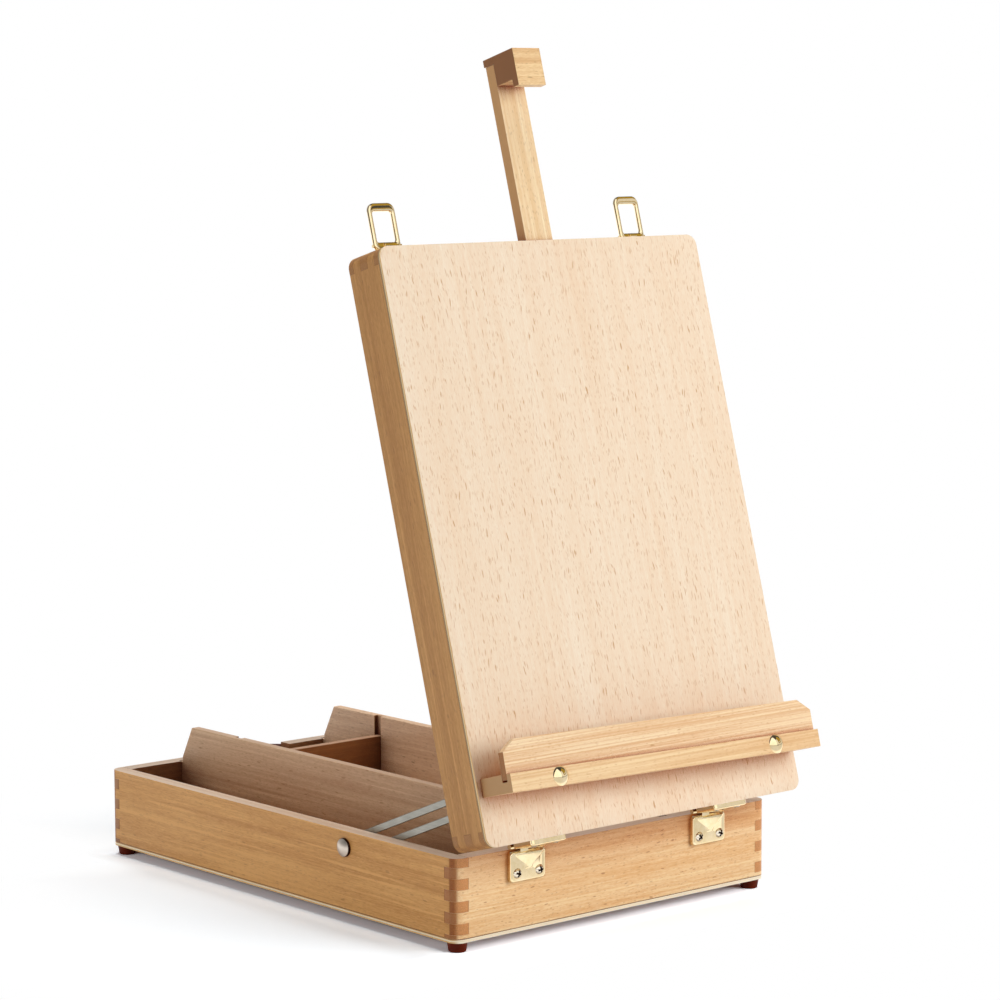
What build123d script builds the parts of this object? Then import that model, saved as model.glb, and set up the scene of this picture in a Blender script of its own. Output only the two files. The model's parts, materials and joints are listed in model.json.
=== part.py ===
"""Pochade box: a beech table-box easel with its lid open on two slotted stays.

Millimetres, +Z up. The origin is the centre of the bottom board's underside. The hinges, and the artist,
are on the -Y side; +X is to the artist's right.

Lid pieces are laid out with the lid shut and then turned about the hinge pins. In the lid, s runs along it
from the hinge end and n runs down from the panel's outer face.
"""

import os
from math import asin, atan2, cos, degrees, hypot, pi, radians, sin

from build123d import *

# Box
width = 255.0
length = 354.0
wall = 10.0
corner_r = 7.0
ply = 2.7
rim_z = 50.4
lid_depth = 31.0
finger = 6.65
base_first_row = 2.2
lid_first_row = 4.4
lid_angle = 74.2

# Feet
foot_h = 6.2
foot_r = 6.3
foot_taper = 0.9
foot_inset = 7.6
foot_seat = 0.6
foot_clear = 0.1

# Partitions
partition = 6.0
left_bay = 40.5
right_bay = 69.5
rear_bay = 57.0
partition_below_lid = 6.8
shoulder_above_rim = 3.2
shoulder_in = 1.0
partition_slant = 11.0
cross_above_rim = 10.8
housing = 3.0
partition_clear = 0.2

# Finger notch in the rear wall
notch_w = 26.0
notch_h = 8.0

# Hinges
hinge_inset = 53.3
leaf_w = 27.3
leaf_h = 18.6
leaf_drop = 2.9
leaf_proud = 3.4
leaf_sheet = 0.8
pin_out = 1.8
pin_up = 1.8
pin_r = 0.8
knuckle_r = 1.6
knuckle_gap = 0.4
leaf_corner_r = 1.5
bulge_w = 22.0
bulge_tip_w = 4.0
bulge_h = 13.0
bulge_out = 1.3
hinge_screw_x = 8.6
hinge_screw_up = 5.4

# Screws and bolts
screw_head_r = 3.1
screw_r = 1.7
screw_len = 9.0
small_head_r = 2.4
small_screw_r = 1.2
small_screw_len = 8.0
dome_r = 5.8
dome_h = 3.2
recess = 0.8
hole_clear = 0.05
hole_beyond = 0.4
past = 1.0

# Stays
bolt_from_front = 103.7
bolt_below_rim = 10.1
bolt_r = 2.5
bolt_beyond = 1.0
pivot_s = 29.0
pivot_n = 15.0
stay_w = 14.0
stay_t = 2.0
stay_gap = 0.3
slot_w = 5.6
slot_start = 16.0
slot_end = 127.0
stay_end = 134.0
rivet_r = 2.6
rivet_head_r = 4.6
rivet_head_h = 2.0
washer_r = 6.5
washer_t = 1.0
wing_span = 24.0
wing_t = 2.4
nut_r = 4.4
nut_h = 6.5
stack_gap = 0.15

# Mast and hook
mast_w = 21.6
mast_t = 7.4
mast_beyond = 110.6
mast_shorter = 24.0
mast_n = 3.1
mast_clear = 0.3
hook_w = 22.2
hook_cap = 4.9
hook_step = 0.2
hook_block = 13.8
hook_lip = 18.4
hook_n = (-16.5, -11.4, 3.0, 11.9)
stop_r = 2.0
stop_up = 10.4
stop_depth = 5.4
stop_out = 4.5

# Mast guides and clamp
upper_guide_back = 23.0
upper_guide_l = 28.0
upper_guide_w = 56.0
upper_guide_n = 21.0
guide_gap = 46.0
lower_guide_l = 12.0
lower_guide_w = 46.0
lower_guide_n = 17.5
clamp_r = 3.0
clamp_in_knob = 3.0
insert_r = 4.5
knob_r = 9.0
knob_h = 8.0
knob_n = 22.0
flutes = 12
flute_r = 1.5
flute_out = 0.6

# Ledge
ledge_inset = 3.0
ledge_lean = -1.3
shelf_s = (26.3, 37.1)
shelf_depth = 27.4
lip_n = (-24.0, -19.6)
lip_s = (33.6, 56.6)
lip_groove_s = 32.5
lip_chamfer = (10.0, 7.0)
ledge_bolt_inset = 37.3
ledge_bolt_s = 31.6
ledge_bolt_r = 2.9
ledge_bolt_end = 12.6
ledge_washer_r = 8.0
hex_af = 10.0
hex_h = 5.0

# Latches
latch_inset = 28.5
latch_pin_n = 26.9
latch_pin_out = 6.0
latch_pin_r = 1.0
plate_t = 1.0
bracket_w = 24.0
bracket_n = (11.0, 30.0)
bracket_screw_in = 4.0
bracket_screw_x = 8.0
lug_w = 5.5
lug_wall = 2.2
loop_w = 20.3
loop_bar = 2.9
loop_t = 2.9
loop_pull = 5.0
loop_tail = 4.3
loop_sill = 2.2
lug_clear = 0.35
loop_reach = 26.0
loop_corner_r = 5.0
loop_window_r = 1.7
latch_clear = 0.7
pin_beyond = 0.6
keeper_w = 20.0
keeper_below_rim = 3.9
keeper_h = 17.5
keeper_screw_up = 2.6
keeper_screw_x = 7.0
keeper_hook_w = 11.0
keeper_hook_h = 6.5
keeper_tip = 2.0
keeper_out = 9.3

# Handle
strap_half = 56.0
strap_flat = 15.0
strap_w = 20.0
strap_below_rim = 4.4
strap_t = 3.5
strap_bow = 23.5
strap_steps = 16
cap_w = 13.0
cap_t = 1.0
cap_screw_in = 5.0

top_z = rim_z + lid_depth
half_w = width / 2
half_l = length / 2
inner_w = half_w - wall
inner_l = half_l - wall
pin_y = -half_l - pin_out
pin_z = rim_z + pin_up
left_partition_x = -inner_w + left_bay
right_partition_x = inner_w - right_bay - partition
cross_y = inner_l - rear_bay - partition
hinge_x = half_w - hinge_inset
bolt_y = -half_l + bolt_from_front
bolt_z = rim_z - bolt_below_rim
mast_high = length + mast_beyond
mast_low = mast_high - (length - mast_shorter)
mast_back = mast_n + mast_t
upper_guide = (length - upper_guide_back - upper_guide_l, length - upper_guide_back)
lower_guide = (upper_guide[0] - guide_gap - lower_guide_l, upper_guide[0] - guide_gap)
ledge_half = half_w - ledge_inset
ledge_bolt_x = ledge_half - ledge_bolt_inset
latch_x = half_w - latch_inset
keeper_z = (rim_z - keeper_below_rim - keeper_h, rim_z - keeper_below_rim)
keeper_hook_low = top_z - latch_pin_n - (loop_reach - loop_pull) + latch_clear
strap_z = (rim_z - strap_below_rim - strap_w, rim_z - strap_below_rim)
turn = radians(lid_angle)


def block(x, y, z):
    """Box between a low and a high coordinate along each axis."""
    spans = [sorted(span) for span in (x, y, z)]
    return Pos(*[(lo + hi) / 2 for lo, hi in spans]) * Box(*[hi - lo for lo, hi in spans])


def rod(start, end, r, r_end=None):
    """Cylinder, or cone, between two points."""
    axis = Vector(*end) - Vector(*start)
    seat = Plane(origin=start, z_dir=axis)
    low = (Align.CENTER, Align.CENTER, Align.MIN)
    if r_end is None:
        return seat * Cylinder(r, axis.length, align=low)
    return seat * Cone(r, r_end, axis.length, align=low)


def lid_block(x, s, n):
    """Box in the shut lid."""
    return block(x, [v - half_l for v in s], [top_z - v for v in n])


def lid_point(x, s, n):
    return (x, s - half_l, top_z - n)


def opened(shape):
    """Turn a piece of the shut lid about the hinge pins to where the lid stands."""
    return Pos(0, pin_y, pin_z) * Rot(lid_angle, 0, 0) * Pos(0, -pin_y, -pin_z) * shape


def opened_point(point):
    x, y, z = point
    dy, dz = y - pin_y, z - pin_z
    return (x, pin_y + dy * cos(turn) - dz * sin(turn), pin_z + dy * sin(turn) + dz * cos(turn))


def yz_prism(points, x):
    """Prism along X on a (y, z) outline."""
    lo, hi = sorted(x)
    face = Plane.YZ.offset(lo) * make_face(Polyline(*points, close=True))
    return extrude(face, hi - lo)


def as_solids(*shapes):
    return [solid for shape in shapes for solid in shape.solids()]


def save(name, *shapes):
    solids = as_solids(*shapes)
    shape = solids[0] if len(solids) == 1 else Compound(children=solids)
    export_step(shape, f"parts/{name}.step")


def outline(z):
    """Full box outline with its rounded upright corners, between two heights."""
    plate = Plane.XY.offset(z[0]) * RectangleRounded(width, length, corner_r)
    return extrude(plate, z[1] - z[0])


def rows(z, first):
    """Finger rows between two heights, lowest first."""
    edges = [z[0]]
    line = z[0] + first
    while line < z[1]:
        edges.append(line)
        line += finger
    edges.append(z[1])
    return list(zip(edges, edges[1:]))


def side_wall(side, z, first):
    """Wall along Y; it owns every second finger row, from the second up."""
    x = (side * inner_w, side * half_w)
    wall_body = block(x, (-inner_l, inner_l), z)
    for row in rows(z, first)[1::2]:
        wall_body += block(x, (-half_l, half_l), row)
    return wall_body & outline(z)


def end_wall(side, z, first):
    """Wall along X; it owns every second finger row, from the first up."""
    y = (side * inner_l, side * half_l)
    wall_body = block((-inner_w, inner_w), y, z)
    for row in rows(z, first)[0::2]:
        wall_body += block((-half_w, half_w), y, row)
    return wall_body & outline(z)


def dome(base, out, r=dome_r, h=dome_h):
    """Shallow domed bolt head seated on a point, pointing along a direction."""
    ball = (r * r + h * h) / (2 * h)
    half = asin(r / ball) / 2
    arc = ThreePointArc((r, 0), (ball * sin(half), ball * cos(half) - ball + h), (0, h))
    section = make_face([*Polyline((0, h), (0, 0), (r, 0)).edges(), arc.edge()])
    return Plane(origin=base, z_dir=out) * revolve(Plane.XZ * section, Axis.Z)


def screw(head_at, inward, r, head_r, length_in):
    """Round-head cross-recess wood screw; head_at is the centre of the head's seat."""
    seat, way = Vector(*head_at), Vector(*inward)
    head_h = head_r * 0.62
    head = dome(seat, -way, head_r, head_h)
    side = Vector(1, 0, 0)
    other = side.cross(way)
    top = seat - way * head_h
    for arm, across in ((side, other), (other, side)):
        slot = Plane(origin=top + way * recess / 2, x_dir=arm, z_dir=way)
        head -= slot * Box(head_r * 1.2, head_r * 0.34, recess)
    shank = rod(seat, seat + way * (length_in - r * 2), r)
    point = rod(seat + way * (length_in - r * 2), seat + way * length_in, r, r * 0.2)
    return head + shank + point


def screw_hole(head_at, inward, r, length_in):
    seat, way = Vector(*head_at), Vector(*inward)
    return rod(seat, seat + way * (length_in + hole_beyond), r + hole_clear)


os.makedirs("parts", exist_ok=True)

# Base walls, bottom board and feet
base_z = (ply, rim_z)
front_wall = end_wall(-1, base_z, base_first_row)
rear_wall = end_wall(1, base_z, base_first_row)
left_wall = side_wall(-1, base_z, base_first_row)
right_wall = side_wall(1, base_z, base_first_row)

for x in (left_partition_x, right_partition_x):
    housing_x = (x - partition_clear, x + partition + partition_clear)
    front_wall -= block(housing_x, (-inner_l - housing, -inner_l + past), (ply, rim_z + past))
    rear_wall -= block(housing_x, (inner_l - past, inner_l + housing), (ply, rim_z + past))
rear_wall -= block((-notch_w / 2, notch_w / 2), (inner_l - past, half_l + past),
                   (rim_z - notch_h, rim_z + past))

bottom = outline((0, ply))
feet = []
for x in (-half_w + foot_inset, half_w - foot_inset):
    for y in (-half_l + foot_inset, half_l - foot_inset):
        bottom -= rod((x, y, -past), (x, y, foot_seat), foot_r + foot_clear)
        stub = rod((x, y, foot_seat), (x, y, 0), foot_r)
        feet.append(stub + rod((x, y, 0), (x, y, -foot_h), foot_r, foot_r - foot_taper))
save("base_bottom", bottom)
save("feet", *feet)

# Partitions
shoulder_y = inner_l - shoulder_in
partition_shoulder = rim_z + shoulder_above_rim
partition_top = top_z - partition_below_lid
tab_y = inner_l + housing - partition_clear
half_profile = [(tab_y, ply), (tab_y, rim_z - partition_clear), (shoulder_y, rim_z - partition_clear),
                (shoulder_y, partition_shoulder), (shoulder_y - partition_slant, partition_top)]
profile = half_profile + [(-y, z) for y, z in reversed(half_profile)]
cross_housing_y = (cross_y - partition_clear, cross_y + partition + partition_clear)
left_face = left_partition_x + partition
left_partition = yz_prism(profile, (left_partition_x, left_face))
left_partition -= block((left_face - housing, left_face + past), cross_housing_y,
                        (ply, partition_top + past))
right_partition = yz_prism(profile, (right_partition_x, right_partition_x + partition))
right_partition -= block((right_partition_x - past, right_partition_x + housing), cross_housing_y,
                         (ply, partition_top + past))
cross_x = (left_face - housing + partition_clear, right_partition_x + housing - partition_clear)
save("partition_left", left_partition)
save("partition_right", right_partition)
save("partition_cross", block(cross_x, (cross_y, cross_y + partition), (ply, rim_z + cross_above_rim)))


# Hinges
def leaf(x, knuckle_side):
    """Base leaf: a shallow pressed tray on the front wall with one rolled knuckle and a stop bulge."""
    face_y = -half_l - leaf_proud
    high = pin_z - leaf_drop
    low = high - leaf_h
    left, right = x - leaf_w / 2, x + leaf_w / 2
    tray = block((left, right), (face_y, -half_l), (low, high))
    tray = fillet(tray.edges().filter_by(Axis.Y).group_by(Axis.Z)[0], leaf_corner_r)
    tray -= block((left + leaf_sheet, right - leaf_sheet), (face_y + leaf_sheet, -half_l + past),
                  (low + leaf_sheet, high - leaf_sheet))
    near, far = (left, x - knuckle_gap / 2) if knuckle_side < 0 else (x + knuckle_gap / 2, right)
    tray += block((near, far), (face_y, face_y + leaf_sheet), (high - leaf_sheet, pin_z))
    tray += rod((near, pin_y, pin_z), (far, pin_y, pin_z), knuckle_r)
    bulge = extrude(Plane.XZ.offset(-face_y) * make_face(Polyline(
        (x - bulge_w / 2, high), (x + bulge_w / 2, high), (x + bulge_tip_w / 2, high - bulge_h),
        (x - bulge_tip_w / 2, high - bulge_h), close=True)), bulge_out)
    wedge = yz_prism([(face_y, high), (face_y - bulge_out, high - bulge_out), (face_y, high - bulge_h)],
                     (left, right))
    tray += bulge & wedge
    return tray - rod((near - past, pin_y, pin_z), (far + past, pin_y, pin_z), pin_r)


def mirrored_up(shape):
    """Lid leaf from base leaf: mirror in the level plane through the pins."""
    return shape.mirror(Plane.XY.offset(pin_z))


inward = (0, 1, 0)
hinge_screw_z = pin_z - leaf_drop - leaf_h + hinge_screw_up
lid_screw_z = 2 * pin_z - hinge_screw_z
base_screws, lid_screws, pins = [], [], []
lid_hinge_wall = end_wall(-1, (rim_z, top_z - ply), lid_first_row)
for name, x in (("left", -hinge_x), ("right", hinge_x)):
    base_leaf = leaf(x, -1)
    lid_leaf = mirrored_up(leaf(x, 1))
    for screw_x in (x - hinge_screw_x, x + hinge_screw_x):
        seat = (screw_x, -half_l - leaf_proud, hinge_screw_z)
        hole = screw_hole(seat, inward, screw_r, screw_len + leaf_proud)
        base_leaf -= hole
        front_wall -= hole
        base_screws.append(screw(seat, inward, screw_r, screw_head_r, screw_len + leaf_proud))
        seat = (screw_x, -half_l - leaf_proud, lid_screw_z)
        hole = screw_hole(seat, inward, screw_r, screw_len + leaf_proud)
        lid_leaf -= hole
        lid_hinge_wall -= hole
        lid_screws.append(opened(screw(seat, inward, screw_r, screw_head_r, screw_len + leaf_proud)))
    pins.append(rod((x - leaf_w / 2, pin_y, pin_z), (x + leaf_w / 2, pin_y, pin_z), pin_r - hole_clear))
    save(f"hinge_leaf_base_{name}", base_leaf)
    save(f"hinge_leaf_lid_{name}", opened(lid_leaf))
save("hinge_pins", *pins)
save("hinge_screws_base", *base_screws)
save("hinge_screws_lid", *lid_screws)
save("base_wall_front", front_wall)

# Stays: clamp bolt B in the side wall, pivot P on the lid
bolt = (bolt_y, bolt_z)
pivot = opened_point(lid_point(0, pivot_s, pivot_n))[1:]
reach = hypot(pivot[0] - bolt[0], pivot[1] - bolt[1])
stay_dir = ((bolt[0] - pivot[0]) / reach, (bolt[1] - pivot[1]) / reach)
stay_turn = degrees(atan2(stay_dir[1], stay_dir[0]))

stack = [stay_gap, stay_t, stack_gap, washer_t, stack_gap, nut_h]
depth = [sum(stack[:i]) for i in range(len(stack) + 1)]


def stay_pieces(side):
    """Bolt, stay, rivet, washer and wing nut of one side, from the wall's inner face inwards."""
    face = side * inner_w
    level = [face - side * d for d in depth]

    def at(x):
        return (x, bolt_y, bolt_z)

    axis = (side, 0, 0)
    head_seat = side * half_w
    clamp_bolt = dome(at(head_seat), axis, dome_r - 0.2, dome_h)
    clamp_bolt += rod(at(head_seat), at(level[6] - side * bolt_beyond), bolt_r)

    strip = SlotOverall(stay_end + stay_w / 2, stay_w)
    slot_len = slot_end - slot_start + slot_w
    slot = Pos((slot_start + slot_end - stay_end + stay_w / 2) / 2, 0) * SlotOverall(slot_len, slot_w)
    eye = Pos(-(stay_end + stay_w / 2) / 2 + stay_w / 2, 0) * Circle(rivet_r + hole_clear)
    flat = extrude(strip - slot - eye, stay_t)
    lay = Plane(origin=(min(level[1], level[2]), *pivot), x_dir=(0, *stay_dir), z_dir=(1, 0, 0))
    stay = lay * Pos((stay_end + stay_w / 2) / 2 - stay_w / 2, 0, 0) * flat

    head_at = level[2] - side * hole_clear
    rivet = rod((level[1], *pivot), (head_at, *pivot), rivet_r)
    rivet += dome((head_at, *pivot), (-side, 0, 0), rivet_head_r, rivet_head_h)

    washer = rod(at(level[3]), at(level[4]), washer_r) - rod(at(level[3]), at(level[4]), bolt_r + hole_clear)

    nut = rod(at(level[5]), at(level[6]), nut_r)
    for way in (-1, 1):
        wing_outline = Polyline((way * (nut_r - 1.5), 0), (way * (nut_r - 1.5), nut_h * 0.6),
                                (way * wing_span * 0.34, nut_h * 1.45), (way * wing_span / 2, nut_h * 1.3),
                                (way * wing_span / 2, nut_h * 0.75), (way * nut_r, 0.8), close=True)
        seat = Plane(origin=at(level[5]), x_dir=(0, *stay_dir), z_dir=Vector(-side, 0, 0).cross(
            Vector(0, *stay_dir)) * -1)
        wing = extrude(make_face(wing_outline), wing_t / 2, both=True)
        nut += seat * wing
    nut -= rod(at(level[5] + side * past), at(level[6] - side * nut_h), bolt_r + hole_clear)
    return clamp_bolt, stay, rivet, washer, nut


bolts = []
for name, side, wall_body in (("left", -1, left_wall), ("right", 1, right_wall)):
    clamp_bolt, stay, rivet, washer, nut = stay_pieces(side)
    bolts.append(clamp_bolt)
    wall_body -= rod((side * (inner_w - past), bolt_y, bolt_z), (side * (half_w + past), bolt_y, bolt_z),
                     bolt_r + hole_clear)
    save(f"base_wall_{name}", wall_body)
    save(f"stay_{name}", stay)
    save(f"stay_pivot_{name}", rivet)
    save(f"stay_washer_{name}", washer)
    save(f"stay_wing_nut_{name}", nut)
save("stay_bolts", *bolts)

# Lid walls and panel
lid_z = (rim_z, top_z - ply)
save("lid_wall_left", opened(side_wall(-1, lid_z, lid_first_row)))
save("lid_wall_right", opened(side_wall(1, lid_z, lid_first_row)))
save("lid_wall_hinge", opened(lid_hinge_wall))
mast_slot_x = (-mast_w / 2 - mast_clear, mast_w / 2 + mast_clear)
mast_slot_n = (ply - past, mast_back + mast_clear)
top_wall = end_wall(1, lid_z, lid_first_row)
top_wall -= lid_block(mast_slot_x, (length - wall - past, length + past), mast_slot_n)
panel = outline((top_z - ply, top_z))

# Ledge, bolted on a little out of square: its right-hand end hangs lower
ledge_turn = Pos(0, ledge_bolt_s - half_l, 0) * Rot(0, 0, ledge_lean) * Pos(0, half_l - ledge_bolt_s, 0)
shelf = lid_block((-ledge_half, ledge_half), shelf_s, (-shelf_depth, 0))
shelf -= lid_block((-ledge_half - past, ledge_half + past), (lip_groove_s, shelf_s[1] + past), lip_n)
lip = lid_block((-ledge_half, ledge_half), lip_s, lip_n)
corners = lip.edges().filter_by(Axis.Z).group_by(Axis.Y)[-1]
lip = chamfer(corners, lip_chamfer[0], lip_chamfer[1], reference=lip.faces().sort_by(Axis.Y)[-1])
ledge_bolts, ledge_washers, ledge_nuts = [], [], []
for x in (-ledge_bolt_x, ledge_bolt_x):
    front = lid_point(x, ledge_bolt_s, -shelf_depth)
    inner = lid_point(x, ledge_bolt_s, ply)
    tail = lid_point(x, ledge_bolt_s, ledge_bolt_end)
    hole = rod(front, tail, ledge_bolt_r + hole_clear)
    shelf -= hole
    lip -= hole
    panel -= ledge_turn * hole
    ledge_bolts.append(dome(front, (0, 0, 1)) + rod(front, tail, ledge_bolt_r))
    seat = lid_point(x, ledge_bolt_s, ply + washer_t)
    ledge_washers.append(rod(inner, seat, ledge_washer_r) - hole)
    nut_end = lid_point(x, ledge_bolt_s, ply + washer_t + hex_h)
    hexagon = Plane(origin=nut_end) * RegularPolygon(hex_af / 2, 6, major_radius=False)
    ledge_nuts.append(extrude(hexagon, hex_h) - hole)
save("lid_panel", opened(panel))
save("ledge_shelf", opened(ledge_turn * shelf))
save("ledge_lip", opened(ledge_turn * lip))
save("ledge_bolts", *[opened(ledge_turn * b) for b in ledge_bolts])
save("ledge_washers", *[opened(ledge_turn * w) for w in ledge_washers])
save("ledge_nuts", *[opened(ledge_turn * n) for n in ledge_nuts])

# Mast, its hook block and stop pin
mast = lid_block((-mast_w / 2, mast_w / 2), (mast_low, mast_high), (mast_n, mast_back))
stop_s = mast_low + stop_up
stop_n = mast_back - stop_depth
mast -= rod(lid_point(0, stop_s, stop_n), lid_point(0, stop_s, mast_back + past), stop_r)
stop_pin = rod(lid_point(0, stop_s, stop_n), lid_point(0, stop_s, mast_back + stop_out), stop_r - hole_clear)
lip_front, lip_back, block_back, cap_back = hook_n
hook_points = [(lip_front, hook_cap), (cap_back, hook_cap), (cap_back, hook_step), (block_back, hook_step),
               (block_back, -hook_block), (lip_back, -hook_block), (lip_back, -hook_lip),
               (lip_front, -hook_lip)]
hook = yz_prism([(mast_high + s - half_l, top_z - n) for n, s in hook_points], (-hook_w / 2, hook_w / 2))
save("mast", opened(mast))
save("mast_hook", opened(hook))
save("mast_stop_pin", opened(stop_pin))

# Mast guides and clamp
mast_way = lid_block(mast_slot_x, (lower_guide[0] - past, upper_guide[1] + past), mast_slot_n)
guide_high = lid_block((-upper_guide_w / 2, upper_guide_w / 2), upper_guide, (ply, upper_guide_n)) - mast_way
guide_low = lid_block((-lower_guide_w / 2, lower_guide_w / 2), lower_guide, (ply, lower_guide_n)) - mast_way
clamp_s = sum(upper_guide) / 2


def clamp_point(n, x=0.0, s=0.0):
    return lid_point(x, clamp_s + s, n)


insert_n = mast_back + mast_clear
guide_high -= rod(clamp_point(mast_back), clamp_point(upper_guide_n + past), insert_r)
insert = rod(clamp_point(insert_n), clamp_point(upper_guide_n), insert_r - hole_clear)
insert -= rod(clamp_point(insert_n - past), clamp_point(upper_guide_n + past), clamp_r + hole_clear)
clamp_end = knob_n + clamp_in_knob
clamp_screw = rod(clamp_point(insert_n), clamp_point(clamp_end), clamp_r)
knob = rod(clamp_point(knob_n), clamp_point(knob_n + knob_h), knob_r)
for step in range(flutes):
    angle = 2 * pi * step / flutes
    x, s = (knob_r + flute_out) * cos(angle), (knob_r + flute_out) * sin(angle)
    knob -= rod(clamp_point(knob_n - past, x, s), clamp_point(knob_n + knob_h + past, x, s), flute_r)
knob -= rod(clamp_point(knob_n - past), clamp_point(clamp_end), clamp_r + hole_clear)
save("mast_guide_upper", opened(guide_high))
save("mast_guide_lower", opened(guide_low))
save("clamp_insert", opened(insert))
save("clamp_screw", opened(clamp_screw))
save("clamp_knob", opened(knob))


# Latches: bracket, pin and loop on the lid's far wall, keeper on the rear wall
def latch_point(x, out, n):
    return lid_point(x, length + out, n)


def latch_block(x, out, n):
    return lid_block(x, [length + v for v in out], n)


outward = (0, -1, 0)
brackets, latch_pins, latch_screws, keepers, keeper_screws = [], [], [], [], []
for name, x in (("left", -latch_x), ("right", latch_x)):
    pin_hole = rod(latch_point(x - bracket_w, latch_pin_out, latch_pin_n),
                   latch_point(x + bracket_w, latch_pin_out, latch_pin_n), latch_pin_r + hole_clear)
    bracket = latch_block((x - bracket_w / 2, x + bracket_w / 2), (0, plate_t), bracket_n)
    lug_n = (latch_pin_n - lug_wall, latch_pin_n + lug_wall)
    bracket += latch_block((x - lug_w / 2, x + lug_w / 2), (0, latch_pin_out), lug_n)
    bracket += rod(latch_point(x - lug_w / 2, latch_pin_out, latch_pin_n),
                   latch_point(x + lug_w / 2, latch_pin_out, latch_pin_n), lug_wall)
    bracket -= pin_hole
    latch_pins.append(rod(latch_point(x - loop_w / 2 - pin_beyond, latch_pin_out, latch_pin_n),
                          latch_point(x + loop_w / 2 + pin_beyond, latch_pin_out, latch_pin_n), latch_pin_r))
    loop_out = (latch_pin_out - loop_tail, latch_pin_out + loop_reach)
    loop_n = (latch_pin_n - loop_t / 2, latch_pin_n + loop_t / 2)
    loop = latch_block((x - loop_w / 2, x + loop_w / 2), loop_out, loop_n)
    loop = fillet(loop.edges().filter_by(Axis.Z), loop_corner_r)
    gap_x = (x - loop_w / 2 + loop_bar, x + loop_w / 2 - loop_bar)
    window = latch_block(gap_x, (latch_pin_out + loop_sill, loop_out[1] - loop_pull),
                         (latch_pin_n - loop_t, latch_pin_n + loop_t))
    window = fillet(window.edges().filter_by(Axis.Z), loop_window_r)
    lug_gap = latch_block((x - lug_w / 2 - lug_clear, x + lug_w / 2 + lug_clear),
                          (loop_out[0] - past, latch_pin_out + loop_sill + past),
                          (latch_pin_n - loop_t, latch_pin_n + loop_t))
    loop = loop - window - lug_gap - pin_hole
    keeper = block((x - keeper_w / 2, x + keeper_w / 2), (half_l, half_l + plate_t), keeper_z)
    hook_y = half_l + keeper_out
    keeper_hook_high = keeper_hook_low + keeper_hook_h
    keeper += yz_prism([(half_l, keeper_hook_low), (hook_y, keeper_hook_low),
                        (hook_y, keeper_hook_low + keeper_tip), (half_l + plate_t, keeper_hook_high),
                        (half_l, keeper_hook_high)], (x - keeper_hook_w / 2, x + keeper_hook_w / 2))
    for way in (-1, 1):
        seat = latch_point(x + way * bracket_screw_x, plate_t, bracket_n[0] + bracket_screw_in)
        hole = screw_hole(seat, outward, small_screw_r, small_screw_len)
        bracket -= hole
        top_wall -= hole
        latch_screws.append(screw(seat, outward, small_screw_r, small_head_r, small_screw_len))
        seat = (x + way * keeper_screw_x, half_l + plate_t, keeper_z[0] + keeper_screw_up)
        hole = screw_hole(seat, outward, small_screw_r, small_screw_len)
        keeper -= hole
        rear_wall -= hole
        keeper_screws.append(screw(seat, outward, small_screw_r, small_head_r, small_screw_len))
    brackets.append(bracket)
    keepers.append(keeper)
    save(f"latch_loop_{name}", opened(loop))
save("latch_brackets", *[opened(b) for b in brackets])
save("latch_pins", *[opened(p) for p in latch_pins])
save("latch_bracket_screws", *[opened(s) for s in latch_screws])
save("latch_keepers", *keepers)
save("latch_keeper_screws", *keeper_screws)
save("lid_wall_top", opened(top_wall))

# Carrying handle: a bowed leather strap under two brass caps
strap_mid = strap_t / 2 + half_l
flat_x = strap_half - strap_flat


def bowed(lift):
    """Points along the bow, a raised cosine between the flat ends, lifted square to its middle line."""
    points = []
    for step in range(strap_steps + 1):
        x = flat_x * (2 * step / strap_steps - 1)
        y = strap_mid + strap_bow * (1 + cos(pi * x / flat_x)) / 2
        slope = -strap_bow * pi / (2 * flat_x) * sin(pi * x / flat_x)
        points.append((x - lift * slope / hypot(1, slope), y + lift / hypot(1, slope)))
    return points


level_way = [(1, 0), (1, 0)]
outer = Spline(*bowed(strap_t / 2), tangents=level_way)
inner = Spline(*bowed(-strap_t / 2), tangents=level_way)
near_y, far_y = half_l, half_l + strap_t
sides = [Line((-strap_half, far_y), outer @ 0), Line(outer @ 1, (strap_half, far_y)),
         Line((strap_half, far_y), (strap_half, near_y)), Line((strap_half, near_y), inner @ 1),
         Line(inner @ 0, (-strap_half, near_y)), Line((-strap_half, near_y), (-strap_half, far_y))]
ribbon = make_face([outer.edge(), inner.edge(), *[line.edge() for line in sides]])
strap = extrude(Plane.XY.offset(strap_z[0]) * ribbon, strap_z[1] - strap_z[0])
caps, handle_screws = [], []
for way in (-1, 1):
    cap_x = (way * (strap_half - cap_w), way * strap_half)
    cap = block(cap_x, (half_l + strap_t, half_l + strap_t + cap_t), strap_z)
    for z in (strap_z[0] + cap_screw_in, strap_z[1] - cap_screw_in):
        seat = (sum(cap_x) / 2, half_l + strap_t + cap_t, z)
        hole = screw_hole(seat, outward, small_screw_r, small_screw_len + strap_t)
        cap -= hole
        strap -= hole
        rear_wall -= hole
        handle_screws.append(screw(seat, outward, small_screw_r, small_head_r, small_screw_len + strap_t))
    caps.append(cap)
save("handle_strap", strap)
save("handle_caps", *caps)
save("handle_screws", *handle_screws)
save("base_wall_rear", rear_wall)
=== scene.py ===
"""Dresses the pochade box: eased beech boards, plated hardware, leather strap, light and camera.

Lengths inside the classes are millimetres and become metres as a mesh is made. Lid pieces are laid out with
the lid shut, in (x, s, n): s runs along the lid from the hinge end and n runs down from the panel's outer
face. LidFrame turns them to where the lid stands.
"""

from __future__ import annotations

import json
import logging
import math
from collections.abc import Callable
from dataclasses import dataclass, field
from enum import Enum
from functools import partial

import bmesh
import bpy
import numpy as np
from mathutils import Matrix
from numpy.typing import NDArray

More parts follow.
